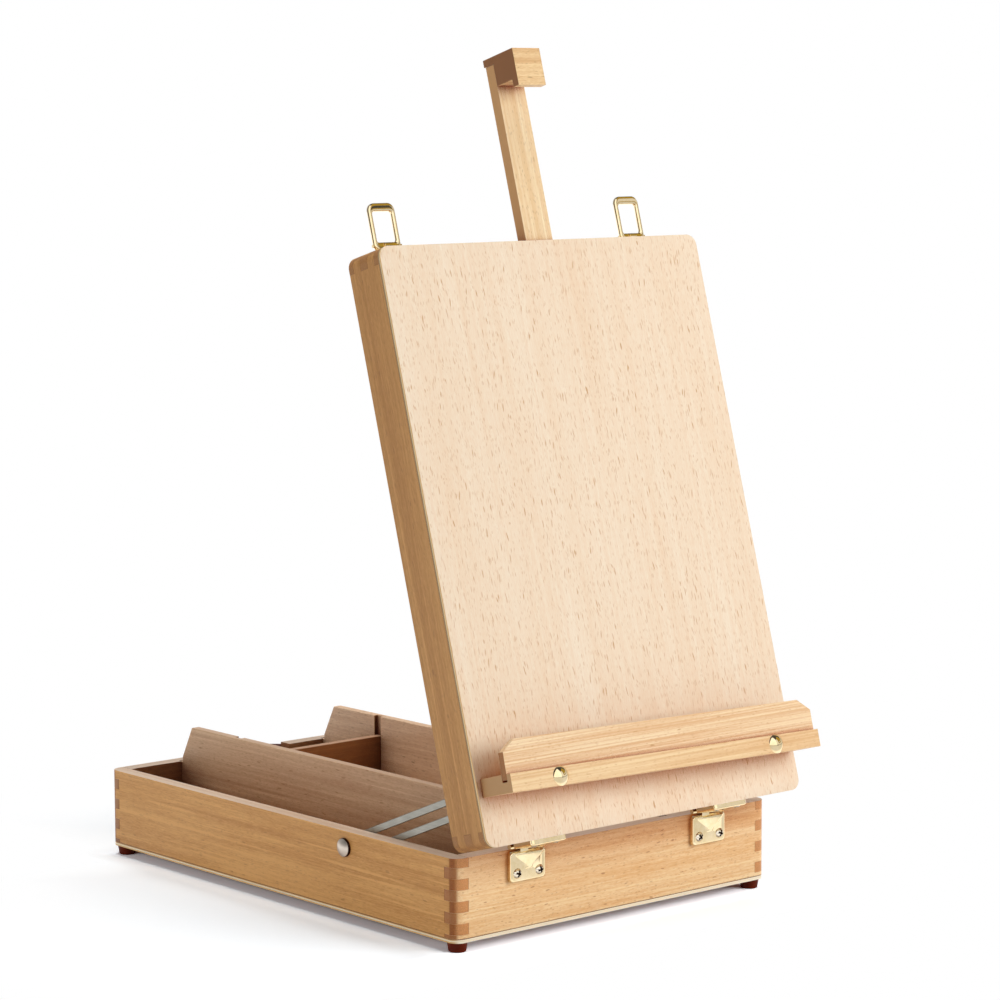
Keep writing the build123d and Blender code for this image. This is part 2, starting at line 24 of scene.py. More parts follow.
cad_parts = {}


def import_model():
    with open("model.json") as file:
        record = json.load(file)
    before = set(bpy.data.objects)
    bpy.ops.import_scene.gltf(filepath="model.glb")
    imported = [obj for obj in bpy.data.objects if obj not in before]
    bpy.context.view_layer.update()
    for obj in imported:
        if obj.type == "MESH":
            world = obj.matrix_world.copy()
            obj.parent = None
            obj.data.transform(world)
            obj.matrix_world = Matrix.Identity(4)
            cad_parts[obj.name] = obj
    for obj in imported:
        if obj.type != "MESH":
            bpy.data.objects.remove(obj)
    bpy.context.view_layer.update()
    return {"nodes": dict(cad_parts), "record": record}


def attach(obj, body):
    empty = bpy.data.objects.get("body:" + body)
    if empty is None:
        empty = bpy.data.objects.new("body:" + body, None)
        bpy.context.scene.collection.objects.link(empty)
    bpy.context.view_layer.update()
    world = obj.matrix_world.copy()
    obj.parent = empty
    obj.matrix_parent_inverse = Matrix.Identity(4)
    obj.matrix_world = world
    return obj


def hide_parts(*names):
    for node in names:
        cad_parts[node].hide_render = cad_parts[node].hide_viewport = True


MM = 0.001
SAME_POINT = 1e-7  # points of a made surface that are this close, in metres, are one
SAME_CORNER = 2e-6  # and of a CAD piece
FLAT = math.radians(0.4)  # faces that meet at less than this are one flat face
CRISP = 35.0  # edges that turn more than this many degrees are eased
BOX_HALF_W = 127.5  # half the box's width
BOX_HALF_L = 177.0  # half its length without fittings
Array = NDArray[np.float64]
Colour = tuple[float, float, float, float]
Node = bpy.types.Node
Socket = bpy.types.NodeSocket
Adder = Callable[..., Node]
Span = tuple[float, float]
Bounds = tuple[float, float, float]
log = logging.getLogger("pochade_box")


# ---------------------------------------------------------------- colours and shader nodes

# Settings that many nodes share. LINE is first * second + third, and MASK is that held between 0 and 1.
LINE = {"operation": "MULTIPLY_ADD"}
MASK = {"operation": "MULTIPLY_ADD", "use_clamp": True}
TIMES = {"operation": "MULTIPLY"}
MINUS = {"operation": "SUBTRACT"}
SIZE = {"operation": "ABSOLUTE"}
LARGER = {"operation": "MAXIMUM"}
BELOW = {"operation": "LESS_THAN"}
ABOVE = {"operation": "GREATER_THAN"}
COLOURS = {"data_type": "RGBA"}
TINT = {"data_type": "RGBA", "blend_type": "MULTIPLY"}


def linear(hex_colour: str) -> Colour:
    """Turn an sRGB hex colour into linear light.

    Args:
        hex_colour: six hex digits, with or without a leading hash.

    Returns:
        Linear red, green, blue and an alpha of one.
    """
    digits = hex_colour.lstrip("#")
    srgb = np.array([int(digits[i:i + 2], 16) for i in (0, 2, 4)]) / 255.0
    value = np.where(srgb <= 0.04045, srgb / 12.92, ((srgb + 0.055) / 1.055) ** 2.4)
    return (float(value[0]), float(value[1]), float(value[2]), 1.0)


def feed(node: Node, inputs: dict | tuple) -> None:
    """Give a node's inputs their values and links.

    Args:
        node: the node.
        inputs: values by socket name, or in the order of the sockets in use. A socket is linked, and so is
            a node, by its first output in use.
    """
    if isinstance(inputs, tuple):
        inputs = dict(zip([i for i, socket in enumerate(node.inputs) if socket.enabled], inputs))
    for key, value in inputs.items():
        if isinstance(value, Node):
            value = next(socket for socket in value.outputs if socket.enabled)
        if isinstance(value, Socket):
            node.id_data.links.new(value, node.inputs[key])
        else:
            node.inputs[key].default_value = value


def add_node(tree: bpy.types.NodeTree, kind: str, settings: dict | None = None,
             inputs: dict | tuple = ()) -> Node:
    """Add a shader node with its settings and links.

    Args:
        tree: the node tree.
        kind: the node's type name without its ShaderNode prefix.
        settings: attribute names and values.
        inputs: what its inputs get, as feed takes it.

    Returns:
        The new node.
    """
    made = tree.nodes.new("ShaderNode" + kind)
    for key, value in (settings or {}).items():
        setattr(made, key, value)
    feed(made, inputs)
    return made


def cleared(owner: bpy.types.Material | bpy.types.World) -> Adder:
    """Empty the node tree of a material or world.

    Args:
        owner: the material or world.

    Returns:
        add_node for its tree.
    """
    owner.use_nodes = True
    owner.node_tree.nodes.clear()
    return partial(add_node, owner.node_tree)


def new_material(name: str) -> tuple[bpy.types.Material, Adder, Node]:
    """Start a material holding only a Principled shader and its output.

    Args:
        name: the material's name.

    Returns:
        The material, add_node for its tree and its Principled node.
    """
    material = bpy.data.materials.new(name)
    add = cleared(material)
    shader = add("BsdfPrincipled")
    add("OutputMaterial", {}, {"Surface": shader})
    return material, add, shader


# ---------------------------------------------------------------- finishes


class Grain(Enum):
    """Which way a board's fibres run; the value is the turn in degrees that lays that way onto X."""

    ALONG_X = 0.0
    ALONG_Y = -90.0


@dataclass(frozen=True)
class Beech:
    """Steamed beech, planed, sanded and oiled.

    To the eye: pinkish straw wood with a satin face, fine close fibres, short brown ray flecks along the
    grain, and end grain that drinks the oil and turns red-brown.

    light and dark are the two tones of the figure; on the rear wall and the cross partition they are painted
    shade, for a face in the lid's shadow. rim is the paler top edge, partly raw wood and partly painted
    light on faces that look up. flank is painted shade on the faces to either side. rear holds the two tones
    of the face behind, the board's own colour. corner is painted shade: a warm brown in closed corners and
    under overhangs, found by ambient occlusion. The rounded upright corners can be darkened by a further
    tint, painted shade of faces that turn from the light.
    """

    name: str
    grain: Grain
    light: str = "#E9C596"
    dark: str = "#CF9D68"
    fleck: str = "#8F5A2E"
    end: str = "#A9764A"
    # Paler top edge: partly raw wood, partly painted light.
    rim: str = ""
    # Painted shade on the faces to either side.
    flank: str = ""
    # The face behind, the board's own colour where light and dark are painted shade.
    rear: tuple[str, ...] = ()
    in_lid: bool = False
    shift: float = 0.0
    fleck_share: float = 0.5
    fleck_length_mm: float = 6.0
    fleck_width_mm: float = 0.8
    fleck_depth: float = 0.55
    small_flecks: float = 0.55
    bold_gap: float = 3.0
    contrast: float = 0.5
    hair: float = 0.8
    fibre: float = 0.9
    lines: float = 0.5
    streaks: float = 0.5
    end_from: float = 0.51
    # Painted shade: how strongly the rounded upright corners are darkened, and by which tint.
    round_shade: float = 0.0
    round_shade_tint: str = "#BC9A58"
    # Painted shade in closed corners and under overhangs, from ambient occlusion.
    corner: str = "#A8501A"
    corner_shade_mm: float = 12.0
    corner_shade_from: float = 0.78
    corner_shade_full: float = 0.52
    corner_shade_above_mm: float = 0.0
    corner_shade_fade_mm: float = 16.0
    roughness: float = 0.5

    @staticmethod
    def cells(add: Adder, lay: Node, along_mm: float, across_mm: float) -> Node:
        """Coordinates in which one unit is a cell of the given size, long along the grain."""
        across = 1 / (across_mm * MM)
        return add("Mapping", {}, {"Vector": lay, "Scale": (1 / (along_mm * MM), across, across)})

    def tone(self, add: Adder, cells: Adder) -> tuple[Node, Node]:
        """Weigh the layers of the figure into one tone.

        The tone is the broad figure plus, for each finer layer, its weight times its distance from a half,
        less the pale streaks.

        Args:
            add: add_node for the tree.
            cells: gives the coordinates for a cell's length and width.

        Returns:
            The layer of fibres alone, and the tone.
        """
        # Cells in millimetres along and across the grain, then detail, roughness and distortion. Single
        # fibres, called hair here, are finer than this in real wood and are drawn this coarse to show.
        rows = {"broad": (260, 26, 3.0, 0.55, 0.0), "bands": (190, 3.4, 2.0, 0.6, 0.35),
                "fibre": (7, 0.6, 2.0, 0.6, 0.0), "hair": (3.2, 0.36, 1.0, 0.5, 0.0),
                "lines": (210, 1.05, 1.0, 0.5, 0.1), "pale": (120, 2.3, 1.0, 0.5, 0.0)}
        made = {}
        for layer, (along_mm, across_mm, detail, rough, bend) in rows.items():
            made[layer] = add("TexNoise", {}, {
                "Vector": cells(along_mm, across_mm), "Scale": 1.0, "Detail": detail,
                "Roughness": rough, "Distortion": bend})
        tone = add("Math", LINE, (made["broad"], 1.5, -0.75))
        weights = {"hair": self.hair, "bands": 1.3, "fibre": self.fibre, "lines": self.lines}
        for layer, weight in weights.items():
            tone = add("Math", LINE, (add("Math", MINUS, (made[layer], 0.5)), weight, tone))
        streak = add("Math", MASK, (made["pale"], 5.0, -3.0))
        return made["fibre"], add("Math", LINE, (streak, -self.streaks, tone))

    @staticmethod
    def flecks(add: Adder, cells: Adder, wander: Socket, size_mm: tuple[float, float], gap: float,
               share: float, seed: float) -> Node:
        """Ray flecks: one lens of the given size in some of the cells, strongest in its middle.

        Args:
            add: add_node for the tree.
            cells: gives the coordinates for a cell's length and width.
            wander: a slow noise that bends the rows of cells, by up to 9 mm.
            size_mm: a fleck's length and width.
            gap: how many widths lie from one fleck to the next.
            share: how many of the cells have one.
            seed: where in the pattern it starts.

        Returns:
            The depth of the flecks, from 0 to 1.
        """
        closer = 0.62 * gap
        length_mm, width_mm = size_mm[0] * closer, size_mm[1] * gap
        bend = (0.0, 9.0 / width_mm, 9.0 / width_mm)
        bent = add("VectorMath", LINE, (wander, bend, cells(length_mm, width_mm)))
        moved = add("VectorMath", {}, (bent, (seed, seed * 1.7, seed * 0.3)))
        found = add("TexVoronoi", {}, {"Vector": moved, "Scale": 1.0}).outputs
        pick = add("SeparateColor", {}, (found["Color"],)).outputs
        some = add("Math", BELOW, (pick[0], share))
        near = add("Math", MASK, (found["Distance"], -6.5 * closer, 2.7))
        worth = add("Math", LINE, (pick[1], 0.7, 0.3))
        return add("Math", TIMES, (add("Math", TIMES, (some, near)), worth))

    def closed(self, add: Adder, height: Socket, level: Socket, behind: Node) -> Node:
        """How much painted shade a point takes: 0 in the open and 1 deep in a corner, with rim and outer
        rear left out.

        Args:
            add: add_node for the tree.
            height: the point's height in metres.
            level: how far its face looks up.
            behind: the mask of faces that look to the rear.

        Returns:
            The share of the corner's colour, painted shade.
        """
        # Ambient occlusion decides where the corner's painted shade falls.
        air = add("AmbientOcclusion", {"samples": 4}, {"Distance": self.corner_shade_mm * MM}).outputs["AO"]
        closed = add("MapRange", {}, (air, self.corner_shade_from, self.corner_shade_full, 0.0, 1.0))
        # Only above a given height, so the painted shade keeps to the top of the board, under the lid and
        # hinges.
        if self.corner_shade_above_mm:
            full_mm = self.corner_shade_above_mm + self.corner_shade_fade_mm
            high = add("MapRange", {}, (height, self.corner_shade_above_mm * MM, full_mm * MM, 0.0, 1.0))
            closed = add("Math", TIMES, (closed, high))
        if self.rim:
            closed = add("Math", TIMES, (closed, add("Math", MASK, (level, -6.0, 4.0))))
        if self.rear:
            closed = add("Math", TIMES, (closed, add("Math", MINUS, (1.0, behind))))
        return closed

    def material(self) -> bpy.types.Material:
        """Build the wood: broad tone, growth bands, fibres, flecks and darker end grain.

        Each mask of a direction is a steep straight line in that part of the normal, held from 0 to 1.

        Returns:
            The material.
        """
        material, add, shader = new_material(self.name)
        tilt = -math.radians(LidFrame.angle) if self.in_lid else 0.0
        turn = (tilt, 0.0, math.radians(self.grain.value))
        place = add("TexCoord").outputs
        lay = add("Mapping", {}, {"Vector": place["Object"], "Rotation": turn,
                                  "Location": (self.shift, 0.37 * self.shift, 0.71 * self.shift)})
        cells = partial(self.cells, add, lay)
        facing = add("Mapping", {"vector_type": "VECTOR"}, {"Vector": place["Normal"], "Rotation": turn})
        along = add("SeparateXYZ", {}, (facing,)).outputs[0]
        _, back, level = add("SeparateXYZ", {}, (place["Normal"],)).outputs
        height = add("SeparateXYZ", {}, (place["Object"],)).outputs[2]
        behind = add("Math", MASK, (back, 6.0, -3.0))
        outward = add("VectorMath", SIZE, (place["Normal"],))
        sideways, endways = add("SeparateXYZ", {}, (outward,)).outputs[:2]

        fibre, tone = self.tone(add, cells)
        share = add("Math", MASK, (tone, self.contrast * 1.6, 0.5))
        colour = add("Mix", COLOURS, (share, linear(self.light), linear(self.dark)))
        # Faces that look to the rear take the rear tones, the board's own colour where light and dark are
        # painted shade.
        if self.rear:
            other = add("Mix", COLOURS, (share, *map(linear, self.rear)))
            colour = add("Mix", COLOURS, (behind, colour, other))

        wander = add("TexNoise", {}, {"Vector": cells(34, 12), "Scale": 1.0, "Detail": 1.0}).outputs[1]
        long_mm, wide_mm = self.fleck_length_mm, self.fleck_width_mm
        small = self.flecks(add, cells, wander, (long_mm * 0.5, wide_mm * 0.7), 2.1, 0.7, 3.1)
        bold = self.flecks(add, cells, wander, (long_mm, wide_mm), self.bold_gap, self.fleck_share, 7.7)
        deep = add("Math", MASK, (small, self.small_flecks, bold))
        inked = add("Math", TIMES, (deep, self.fleck_depth))
        colour = add("Mix", COLOURS, (inked, colour, linear(self.fleck)))
        # Painted shade: faces that look to either side take the darker flank tone.
        if self.flank:
            flank = add("Mix", COLOURS, (0.92, colour, linear(self.flank)))
            colour = add("Mix", COLOURS, (add("Math", MASK, (sideways, 6.0, -5.0)), colour, flank))

        # Open pores of the end grain, about half a millimetre across.
        pores = add("TexNoise", {}, {"Vector": cells(4, 0.55), "Scale": 1.0, "Detail": 2.0,
                                     "Roughness": 0.7})
        speck = add("Math", TIMES, (add("Math", MASK, (pores, 2.6, -0.9)), 0.55))
        end_tone = add("Mix", COLOURS, (speck, linear(self.end), linear(self.fleck)))
        end = add("Math", MASK, (add("Math", SIZE, (along,)), 4.5, -4.5 * self.end_from))
        colour = add("Mix", COLOURS, (end, colour, end_tone))

        # Painted shade: the rounded upright corners, whose faces turn from the light, are darkened.
        if self.round_shade:
            turning = add("Math", {"operation": "MINIMUM"}, (add("Math", MASK, (endways, 7.0, -0.7)),
                                                             add("Math", MASK, (sideways, 4.0, -2.3))))
            round_shade_tint = add("Mix", TINT, (1.0, colour, linear(self.round_shade_tint)))
            colour = add("Mix", COLOURS, (add("Math", TIMES, (turning, self.round_shade)), colour, round_shade_tint))
        # Faces that look up take the paler rim tone: partly raw wood, partly painted light.
        if self.rim:
            mottle = add("Math", TIMES, (share, 0.5))
            raw_and_lit_top = add("Mix", COLOURS, (mottle, linear(self.rim), linear(self.dark)))
            colour = add("Mix", COLOURS, (add("Math", MASK, (level, 6.0, -5.0)), colour, raw_and_lit_top))
        # Painted shade: a warm brown where ambient occlusion finds a closed corner.
        shaded = add("Mix", TINT, (1.0, colour, linear(self.corner)))
        colour = add("Mix", COLOURS, (self.closed(add, height, level, behind), colour, shaded))

        rough = add("Math", LINE, (fibre, 0.16, self.roughness - 0.08))
        relief = add("Math", LINE, (deep, -0.5, fibre))
        bump = add("Bump", {}, {"Height": relief, "Strength": 0.22, "Distance": 0.12 * MM})
        feed(shader, {"Base Color": colour, "Roughness": rough, "Normal": bump})
        return material


@dataclass(frozen=True)
class BeechPly:
    """Three-layer plywood faced with peeled beech veneer and sanded.

    To the eye: a pale, even, pinkish face thick with short flecks, and a cut edge where the cross layer
    shows as a thin creamy stripe between two face veneers.
    """

    name: str
    grain: Grain
    light: str = "#F5E6D0"
    dark: str = "#EBCCAB"
    fleck: str = "#C6904F"
    edge: str = "#F6E7C4"
    core: str = "#E9D6A8"
    core_half_mm: float = 0.4
    # Painted shade on cut edges that look to either side.
    flank: str = "#E3B97B"
    # A glue line, and painted shade of the gap beside it.
    glue_and_gap_shade: str = "#8A6238"
    glue_and_gap_shade_mm: float = 0.5
    in_lid: bool = False
    shift: float = 0.0
    # Painted shade in corners, such as the trough of the ledge.
    corner: str = "#BC701E"

    def material(self) -> bpy.types.Material:
        """Build the ply from the beech face, with its layers painted where a face turns sideways.

        The layers follow the distance from the board's middle: core within core_half_mm of it, a dark band
        of the given width at one face, and veneer for the rest. The dark band is a glue line and also
        painted shade of the gap beside the edge; the veneer on cut edges that look to either side is painted
        shade too.

        Returns:
            The material.
        """
        # The face's corner tint is painted shade around the ledge.
        face = Beech(self.name, self.grain, self.light, self.dark, self.fleck, self.edge,
                     in_lid=self.in_lid, shift=self.shift, fleck_share=0.75, fleck_length_mm=8.0,
                     fleck_width_mm=0.62, fleck_depth=0.8, small_flecks=0.65, bold_gap=2.6, contrast=0.35,
                     hair=1.5, fibre=1.3, lines=0.4, streaks=0.3, roughness=0.52,
                     corner=self.corner, corner_shade_mm=18.0, corner_shade_from=0.84, corner_shade_full=0.36)
        material = face.material()
        add = partial(add_node, material.node_tree)
        shader = next(n for n in material.node_tree.nodes if n.type == "BSDF_PRINCIPLED")
        painted = shader.inputs["Base Color"].links[0].from_socket
        place = add("TexCoord").outputs
        turn = (-math.radians(LidFrame.angle) if self.in_lid else 0.0, 0.0, 0.0)
        facing = add("Mapping", {"vector_type": "VECTOR"}, {"Vector": place["Normal"], "Rotation": turn})
        across, _, up = add("SeparateXYZ", {}, (add("VectorMath", SIZE, (facing,)),)).outputs
        at = add("Mapping", {}, {"Vector": place["Object"], "Rotation": turn})
        middle = LidFrame.panel_middle() if self.in_lid else LidFrame.ply / 2
        off = add("Math", MINUS, (add("SeparateXYZ", {}, (at,)).outputs[2], middle * MM))
        core = add("Math", BELOW, (add("Math", SIZE, (off,)), self.core_half_mm * MM))
        flank = add("Math", MASK, (across, 3.0, -1.5))
        veneer = add("Mix", COLOURS, (flank, linear(self.edge), linear(self.flank)))
        layers = add("Mix", COLOURS, (core, veneer, linear(self.core)))
        inward = add("Math", TIMES, (off, -1.0 if self.in_lid else 1.0))
        # Dark band on one side: a glue line, and painted shade of the gap beside it.
        glue_and_gap_band = add("Math", ABOVE, (inward, (LidFrame.ply / 2 - self.glue_and_gap_shade_mm) * MM))
        layers = add("Mix", COLOURS, (glue_and_gap_band, layers, linear(self.glue_and_gap_shade)))
        side = add("Math", MASK, (up, -4.0, 2.6))
        feed(shader, {"Base Color": add("Mix", COLOURS, (side, painted, layers))})
        return material


@dataclass(frozen=True)
class Plated:
    """Pressed or turned steel with a bright electroplated skin.

    To the eye: a mirror-like skin slightly clouded by handling, coloured by its top layer.
    """

    name: str
    colour: str
    shade: str
    roughness: float = 0.16
    cloud_mm: float = 6.0
    rub_mm: float = 0.7

    def material(self) -> bpy.types.Material:
        """Build the plating: a clouded mirror with faint rub marks.

        Returns:
            The material.
        """
        material, add, shader = new_material(self.name)
        place = add("TexCoord").outputs["Object"]
        cloud = add("TexNoise", {}, {"Vector": place, "Scale": 1 / (self.cloud_mm * MM), "Detail": 3.0,
                                     "Roughness": 0.6})
        rub = add("TexNoise", {}, {"Vector": place, "Scale": 1 / (self.rub_mm * MM), "Detail": 2.0,
                                   "Roughness": 0.7})
        share = add("Math", MASK, (cloud, 1.4, -0.4))
        colour = add("Mix", COLOURS, (share, linear(self.colour), linear(self.shade)))
        rough = add("Math", LINE, (cloud, 0.06, self.roughness - 0.03))
        rough = add("Math", LINE, (add("Math", MINUS, (rub, 0.5)), 0.04, rough))
        bump = add("Bump", {}, {"Height": cloud, "Strength": 0.02, "Distance": 0.2 * MM})
        feed(shader, {"Base Color": colour, "Roughness": rough, "Normal": bump, "Metallic": 1.0})
        return material


@dataclass(frozen=True)
class RolledSteel:
    """Cold-rolled strip, zinc plated after punching.

    To the eye: dull grey metal with fine lengthwise roll lines.
    """

    name: str
    colour: str = "#A3A199"
    shade: str = "#8B8981"
    roughness: float = 0.38
    line_mm: float = 0.6
    line_length_mm: float = 30.0
    blotch_mm: float = 9.0

    def material(self) -> bpy.types.Material:
        """Build the strip: roll lines along Y and a soft blotch of zinc.

        Returns:
            The material.
        """
        material, add, shader = new_material(self.name)
        place = add("TexCoord").outputs["Object"]
        fine = 1 / (self.line_mm * MM)
        lines = add("Mapping", {}, {"Vector": place, "Scale": (fine, 1 / (self.line_length_mm * MM), fine)})
        roll = add("TexNoise", {}, {"Vector": lines, "Scale": 1.0, "Detail": 3.0, "Roughness": 0.7})
        blotch = add("TexNoise", {}, {"Vector": place, "Scale": 1 / (self.blotch_mm * MM), "Detail": 2.0})
        share = add("Math", MASK, (add("Math", {}, (roll, blotch)), 1.1, -0.6))
        colour = add("Mix", COLOURS, (share, linear(self.colour), linear(self.shade)))
        rough = add("Math", LINE, (roll, 0.22, self.roughness - 0.11))
        bump = add("Bump", {}, {"Height": roll, "Strength": 0.12, "Distance": 0.05 * MM})
        feed(shader, {"Base Color": colour, "Roughness": rough, "Normal": bump, "Metallic": 1.0})
        return material


@dataclass(frozen=True)
class VegTanLeather:
    """Vegetable-tanned cowhide, dyed through and waxed.

    To the eye: pebbled pores a millimetre apart, a low sheen, and creases that catch a paler wax.
    """

    name: str
    colour: str = "#4A1E17"
    pale: str = "#6E3428"
    pore_mm: float = 1.1
    dye_mm: float = 12.0

    def material(self) -> bpy.types.Material:
        """Build the hide: pore cells for its grain, a broad dye variation and a waxy sheen.

        Returns:
            The material.
        """
        material, add, shader = new_material(self.name)
        place = add("TexCoord").outputs["Object"]
        cells = add("TexVoronoi", {"feature": "DISTANCE_TO_EDGE"},
                    {"Vector": place, "Scale": 1 / (self.pore_mm * MM)})
        dye = add("TexNoise", {}, {"Vector": place, "Scale": 1 / (self.dye_mm * MM), "Detail": 4.0})
        pebble = add("Math", {"operation": "MULTIPLY", "use_clamp": True}, (cells, 2.4))
        share = add("Math", TIMES, (pebble, dye))
        colour = add("Mix", COLOURS, (share, linear(self.colour), linear(self.pale)))
        rough = add("Math", LINE, (dye, 0.2, 0.38))
        bump = add("Bump", {}, {"Height": pebble, "Strength": 0.35, "Distance": 0.2 * MM})
        feed(shader, {"Base Color": colour, "Roughness": rough, "Normal": bump})
        return material


@dataclass(frozen=True)
class MouldedPlastic:
    """Injection-moulded polypropylene.

    To the eye: a flat red-brown with a soft gloss and a faint spark-eroded texture.
    """

    name: str
    colour: str = "#7A2A12"
    shade: str = "#451204"
    pit_mm: float = 0.5
    flow_mm: float = 5.0

    def material(self) -> bpy.types.Material:
        """Build the plastic: even colour, eroded texture and soft gloss.

        Returns:
            The material.
        """
        material, add, shader = new_material(self.name)
        place = add("TexCoord").outputs["Object"]
        pit = add("TexNoise", {}, {"Vector": place, "Scale": 1 / (self.pit_mm * MM), "Detail": 2.0})
        flow = add("TexNoise", {}, {"Vector": place, "Scale": 1 / (self.flow_mm * MM)})
        colour = add("Mix", COLOURS, (flow, linear(self.colour), linear(self.shade)))
        rough = add("Math", LINE, (pit, 0.15, 0.28))
        bump = add("Bump", {}, {"Height": pit, "Strength": 0.1, "Distance": 0.05 * MM})
        feed(shader, {"Base Color": colour, "Roughness": rough, "Normal": bump,
                      "Specular IOR Level": 0.15})
        return material


# ---------------------------------------------------------------- places and surfaces


class LidFrame:
    """Where the lid stands: it is turned by angle about the hinge pins, at pin_y and pin_z."""

    angle = 74.2
    pin_y = -178.8
    pin_z = 52.2
    hinge_end = -BOX_HALF_L
    top = 81.4
    ply = 2.7

    @classmethod
    def tilt(cls, x: Array, y: Array, z: Array) -> Array:
        """Shift points of the shut lid to the pins, turn them about X and shift them back.

        Args:
            x: their places across.
            y: their places along.
            z: their heights.

        Returns:
            Points (x, y, z) where the lid stands.
        """
        turn = math.radians(cls.angle)
        dy, dz = y - cls.pin_y, z - cls.pin_z
        return np.stack([x, cls.pin_y + dy * math.cos(turn) - dz * math.sin(turn),
                         cls.pin_z + dy * math.sin(turn) + dz * math.cos(turn)], axis=-1)

    @classmethod
    def place(cls, shut: Array) -> Array:
        """Turn points (x, s, n) of the shut lid to where it stands.

        Args:
            shut: an array whose last axis is (x, s, n), in millimetres.

        Returns:
            The same array as (x, y, z).
        """
        return cls.tilt(shut[..., 0], shut[..., 1] + cls.hinge_end, cls.top - shut[..., 2])

    @classmethod
    def panel_middle(cls) -> float:
        """Find the panel's middle layer once the lid's tilt alone is undone.

        Returns:
            Its height in millimetres.
        """
        turn = math.radians(cls.angle)
        y, z = cls.place(np.array([0.0, 0.0, cls.ply / 2]))[1:]
        return float(-y * math.sin(turn) + z * math.cos(turn))


def grid_faces(rows: int, columns: int, wrap_rows: bool, wrap_columns: bool) -> NDArray[np.int64]:
    """Quads of a grid of points, by index arithmetic on whole arrays.

    Args:
        rows: points along the first parameter.
        columns: points along the second.
        wrap_rows: join the last row to the first.
        wrap_columns: join the last column to the first.

    Returns:
        An array of four point numbers per quad.
    """
    i = np.arange(rows if wrap_rows else rows - 1)[:, None]
    j = np.arange(columns if wrap_columns else columns - 1)[None, :]
    after_i, after_j = (i + 1) % rows, (j + 1) % columns
    corners = [i * columns + j, after_i * columns + j, after_i * columns + after_j, i * columns + after_j]
    return np.stack(np.broadcast_arrays(*corners), axis=-1).reshape(-1, 4)


def surface(name: str, points: Array, wrap_rows: bool = False, wrap_columns: bool = True,
            capped: bool = True, sharp: float = 40.0) -> bpy.types.Object:
    """Make an object from a grid of points in millimetres.

    Args:
        name: the object's name.
        points: rows by columns by 3.
        wrap_rows: the surface closes along its first parameter.
        wrap_columns: the surface closes along its second parameter.
        capped: close the first and last row with a face each.
        sharp: edges that turn more than this many degrees stay crisp.

    Returns:
        The object, at the origin, its normals facing outwards.
    """
    rows, columns = points.shape[:2]
    faces = grid_faces(rows, columns, wrap_rows, wrap_columns).tolist()
    if capped and not wrap_rows:
        faces.append(list(range(columns)))
        faces.append(list(range((rows - 1) * columns, rows * columns)))
    mesh = bpy.data.meshes.new(name)
    mesh.from_pydata((points.reshape(-1, 3) * MM).tolist(), [], faces)
    shell = bmesh.new()
    shell.from_mesh(mesh)
    bmesh.ops.remove_doubles(shell, verts=shell.verts, dist=SAME_POINT)
    bmesh.ops.recalc_face_normals(shell, faces=shell.faces)
    shell.to_mesh(mesh)
    shell.free()
    return shown(name, mesh, sharp)


def shown(name: str, mesh: bpy.types.Mesh, sharp: float) -> bpy.types.Object:
    """Link a mesh as an object, smooth but for its sharp edges.

    Args:
        name: the object's name.
        mesh: its mesh.
        sharp: edges that turn more than this many degrees stay crisp.

    Returns:
        The object, at the origin.
    """
    mesh.polygons.foreach_set("use_smooth", np.ones(len(mesh.polygons), dtype=bool))
    mesh.set_sharp_from_angle(angle=math.radians(sharp))
    made = bpy.data.objects.new(name, mesh)
    bpy.context.scene.collection.objects.link(made)
    return made


def joined(name: str, parts: list[bpy.types.Object]) -> bpy.types.Object:
    """Join objects that lie at the origin into one object.

    Args:
        name: the joined object's name.
        parts: the objects, which are used up.

    Returns:
        The joined object.
    """
    both = bmesh.new()
    for part in parts:
        both.from_mesh(part.data)
        bpy.data.objects.remove(part)
    mesh = bpy.data.meshes.new(name)
    both.to_mesh(mesh)
    both.free()
    return shown(name, mesh, 40.0)


def turned(name: str, profile: list[tuple[float, float]], origin: Array, axis: Array,
           sides: int = 48, flutes: int = 0, flute_depth: float = 0.0,
           sink: Array | None = None) -> bpy.types.Object:
    """A profile carried round an axis, as on a lathe.

    Each point is origin + h * axis + r * (cos a * one side + sin a * the other side); flutes shrink r by
    flute_depth where the cosine of flutes * a is high, and sink moves points back along the axis.

    Args:
        name: the object's name.
        profile: (r, h) pairs in millimetres from one end to the other.
        origin: where h is zero.
        axis: the direction of h.
        sides: points round the axis.
        flutes: how many hollows run along the turned face.
        flute_depth: how deep they are.
        sink: an array of profile points by sides, taken off h.

    Returns:
        The object.
    """
    axis = np.asarray(axis, float) / np.linalg.norm(axis)
    across = np.array([1.0, 0.0, 0.0]) if abs(axis[0]) < 0.9 else np.array([0.0, 1.0, 0.0])
    across = across - axis * (across @ axis)
    across /= np.linalg.norm(across)
    other = np.cross(axis, across)
    outline = np.asarray(profile, float)
    angle = np.linspace(0, 2 * np.pi, sides, endpoint=False)
    radius = outline[:, :1] * np.ones((1, sides))
    if flutes:
        hollow = np.clip(np.cos(flutes * angle), 0, 1)[None, :]
        radius = radius - flute_depth * hollow * (outline[:, :1] > 0.7 * outline[:, 0].max())
    height = outline[:, 1:2] * np.ones((1, sides)) - (0 if sink is None else sink)
    points = (np.asarray(origin, float) + height[..., None] * axis
              + radius[..., None] * (np.cos(angle)[None, :, None] * across
                                     + np.sin(angle)[None, :, None] * other))
    return surface(name, points)


def face_centres(mesh: bpy.types.Mesh) -> Array:
    """Find the middle of each face.

    Args:
        mesh: the mesh.

    Returns:
        Points (x, y, z) in millimetres, one row for each face.
    """
    centres = np.zeros(len(mesh.polygons) * 3)
    mesh.polygons.foreach_get("center", centres)
    return centres.reshape(-1, 3) / MM


